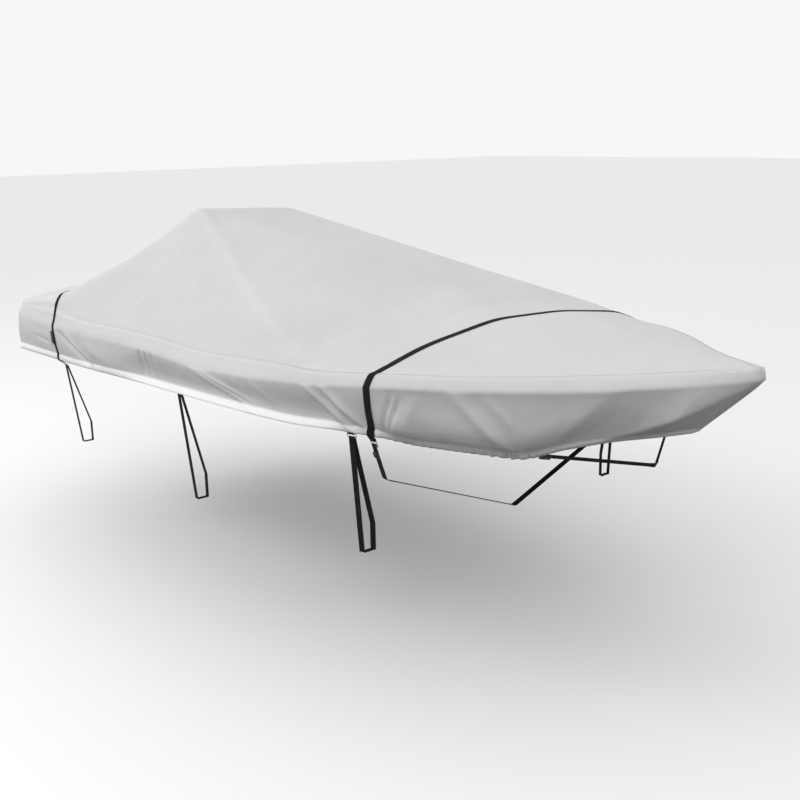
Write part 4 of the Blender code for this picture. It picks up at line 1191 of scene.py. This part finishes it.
# %% The rear buckle
BUCKLE_UP, BUCKLE_THICK = 0.135, 0.010  # along the strap from the hem to its middle
MM, PRONG_ASIDE = 0.001, (0, 14.0, 0, 0)  # its parts are given in millimetres
outer_body = np.array([
    (-35, 0, 14.5, 3.0), (-34, 0, 16, 4.2), (-24, 0, 17, 5.0),
    (-4, 0, 16.6, 5.0), (2, 0, 15.6, 4.6), (3, 0, 14.6, 4.0),
])
inner_body = np.array([
    (2, 0, 12.5, 3.4), (14, 0, 13.5, 3.8), (30, 0, 16.0, 3.8), (34, 0, 16.2, 3.4), (35, 0, 15.0, 2.4),
])
prong = np.array([
    (-2, 0, 1.6, 2.6), (2, 0.8, 2.4, 3.0), (8, 1.4, 2.8, 3.2), (13, 0.6, 2.4, 3.0), (16, -0.6, 1.4, 2.4),
])
prongs = [(prong + PRONG_ASIDE) * (1, hand, 1, 1) for hand in (1, -1)]
k = int(np.argmin(np.abs(up_the_strap - BUCKLE_UP)))
up = unit(middle[k + 4] - middle[k - 4])
centre = middle[k] + out[k] * (WEB / 2 + 2 * GAP + BUCKLE_THICK / 2)
parts = [body(part * MM) for part in (outer_body, inner_body, *prongs)]
moulded("rear_buckle", "rear_buckle", parts, centre, (across[k], -out[k], up))

# %% The bow strap's buckles
BOW_BUCKLE_WIDTH, BOW_BUCKLE_LENGTH, BOW_BUCKLE_THICK, BOW_FRAME = 0.026, 0.045, 0.008, 0.005
BOW_BUCKLE_AT, BOW_BARS = 0.042, (-0.013, 0.014)  # along the strap, and its bars from its middle
cam = MM * np.array([
    (-9, 0, 8.5, 2.0), (-7, 0, 9.2, 3.6), (0, 0, 9.4, 4.0), (6, 0, 9.2, 3.2), (10, 0, 8.4, 1.4),
])
bow_out = np.cross(bow_across, bow_run)
centre = start + bow_run * BOW_BUCKLE_AT + bow_out * (WEB / 2 + GAP + BOW_BUCKLE_THICK / 2)
for side in (STARBOARD, PORT):
    flip = np.array([1, -side, 1])
    axes = (bow_across * flip * -side, bow_out * flip, bow_run * flip)
    parts = frame_and_bar(BOW_BUCKLE_WIDTH, BOW_BUCKLE_LENGTH, BOW_FRAME, BOW_BARS) + [body(cam)]
    name = f"bow_buckle_{SIDE_NAMES[side]}"
    moulded(name, name, parts, centre * flip, axes)

# %% [markdown]
# ## Camera
#
# It stands where the photograph was taken from, 2.15 m above the ground off the starboard bow, and is a
# little tilted, as the photograph is.

# %% The camera
CAMERA_AT = (4.634, -3.223, 2.153 - HELD_HEIGHT)
YAW, PITCH, ROLL = math.radians(39.259), math.radians(13.989), math.radians(-1.164)
SENSOR = 36.0
FOCAL = 1.3507 * SENSOR  # the focal length is 1.35 times the picture's width


def camera_turn():
    """Columns right, up and back: ahead = (-cos y cos p, sin y cos p, -sin p), then turned by the roll."""
    ahead = np.array([-math.cos(YAW) * math.cos(PITCH), math.sin(YAW) * math.cos(PITCH), -math.sin(PITCH)])
    right = unit(np.cross(ahead, (0, 0, 1)))
    up = np.cross(right, ahead)
    tilted_right = math.cos(ROLL) * right + math.sin(ROLL) * up
    tilted_up = math.cos(ROLL) * up - math.sin(ROLL) * right
    return Matrix(np.column_stack([tilted_right, tilted_up, -ahead]).tolist()).to_4x4()


camera = new_object("Camera", bpy.data.cameras.new("Camera"))
camera.data.lens, camera.data.sensor_width = FOCAL, SENSOR
camera.matrix_world = Matrix.Translation(CAMERA_AT) @ camera_turn()
bpy.context.scene.camera = camera
print("camera:", CAMERA_AT, "focal length, mm:", round(FOCAL, 2))

# %% [markdown]
# ## Floor and light
#
# The floor is plain and pale. Most of the light is an even white sky. One wide lamp on the starboard
# quarter brightens the slopes that face aft, a weaker one lights the bow, and a low one fills the
# skirt. A pale floor would light the underside of the bow as brightly as its side, so a black card
# lies on it, as in a photographer's studio. The camera doesn't see the card and it throws no shadow,
# but light that would come back up from the floor stops there.

# %% Floor and card
FLOOR_GREY, FLOOR_SIZE = 0.88, 120
CARD_SIZE, CARD_RISE = (16.0, 13.0), 0.004  # it lies just above the floor


def flat_plane(name, width, length, height, material):
    """A rectangle about the zero, at a height above the ground."""
    corners = np.insert(rectangle(width, length), 2, height - HELD_HEIGHT, axis=1)
    mesh = bpy.data.meshes.new(name)
    mesh.from_pydata(corners.tolist(), [], [(0, 1, 2, 3)])
    mesh.materials.append(material)
    obj = new_object(name, mesh)
    return obj


def card_material():
    """Black on its upper face, and clear for light that goes up through it from the floor."""
    material, tree, shader = principled("Black card", (0.01, 0.01, 0.01, 1), 1.0)
    clear, mix = tree.nodes.new("ShaderNodeBsdfTransparent"), tree.nodes.new("ShaderNodeMixShader")
    facing = tree.nodes.new("ShaderNodeNewGeometry")
    sources = facing.outputs["Backfacing"], shader.outputs["BSDF"], clear.outputs["BSDF"]
    for k, source in enumerate(sources):
        tree.links.new(source, mix.inputs[k])
    tree.links.new(mix.outputs["Shader"], tree.nodes["Material Output"].inputs["Surface"])
    return material


floor_material = principled("Pale floor", (FLOOR_GREY, FLOOR_GREY, FLOOR_GREY, 1), 0.9, 0.1)[0]
flat_plane("floor", FLOOR_SIZE, FLOOR_SIZE, 0.0, floor_material)
card = flat_plane("black_card", *CARD_SIZE, CARD_RISE, card_material())
card.visible_camera = card.visible_shadow = card.visible_glossy = False
print("floor grey:", FLOOR_GREY, "card, metres:", CARD_SIZE)

# %% Sky and lamp
SKY = 0.93
LAMPS_FACE = (0.3, 0.0, -0.4)  # near the middle of the cover
LAMPS = {  # place, size across, watts
    "Key lamp": ((-4.0, -5.2, 3.8), 3.2, 155),
    "Bow lamp": ((4.5, -5.0, 3.4), 2.5, 55),
    "Low lamp": ((0.8, -6.5, 0.9), 2.0, 24),
}

world = bpy.data.worlds.new("Soft sky")
world.use_nodes = True
sky = world.node_tree.nodes["Background"].inputs
sky["Color"].default_value, sky["Strength"].default_value = (1, 1, 1, 1), SKY
bpy.context.scene.world = world


def soft_lamp(name, at, size, watts):
    """A round lamp that faces the middle of the cover."""
    lamp = new_object(name, bpy.data.lights.new(name, "AREA"))
    lamp.data.shape, lamp.data.size, lamp.data.energy = "DISK", size, watts
    towards = (Vector(LAMPS_FACE) - Vector(at)).to_track_quat("-Z", "Y")
    lamp.matrix_world = Matrix.Translation(at) @ towards.to_matrix().to_4x4()


for name, (at, size, watts) in LAMPS.items():
    soft_lamp(name, at, size, watts)
bpy.context.scene.view_settings.view_transform = "Standard"
print("sky:", SKY, "lamps, watts:", {name: lamp[2] for name, lamp in LAMPS.items()})
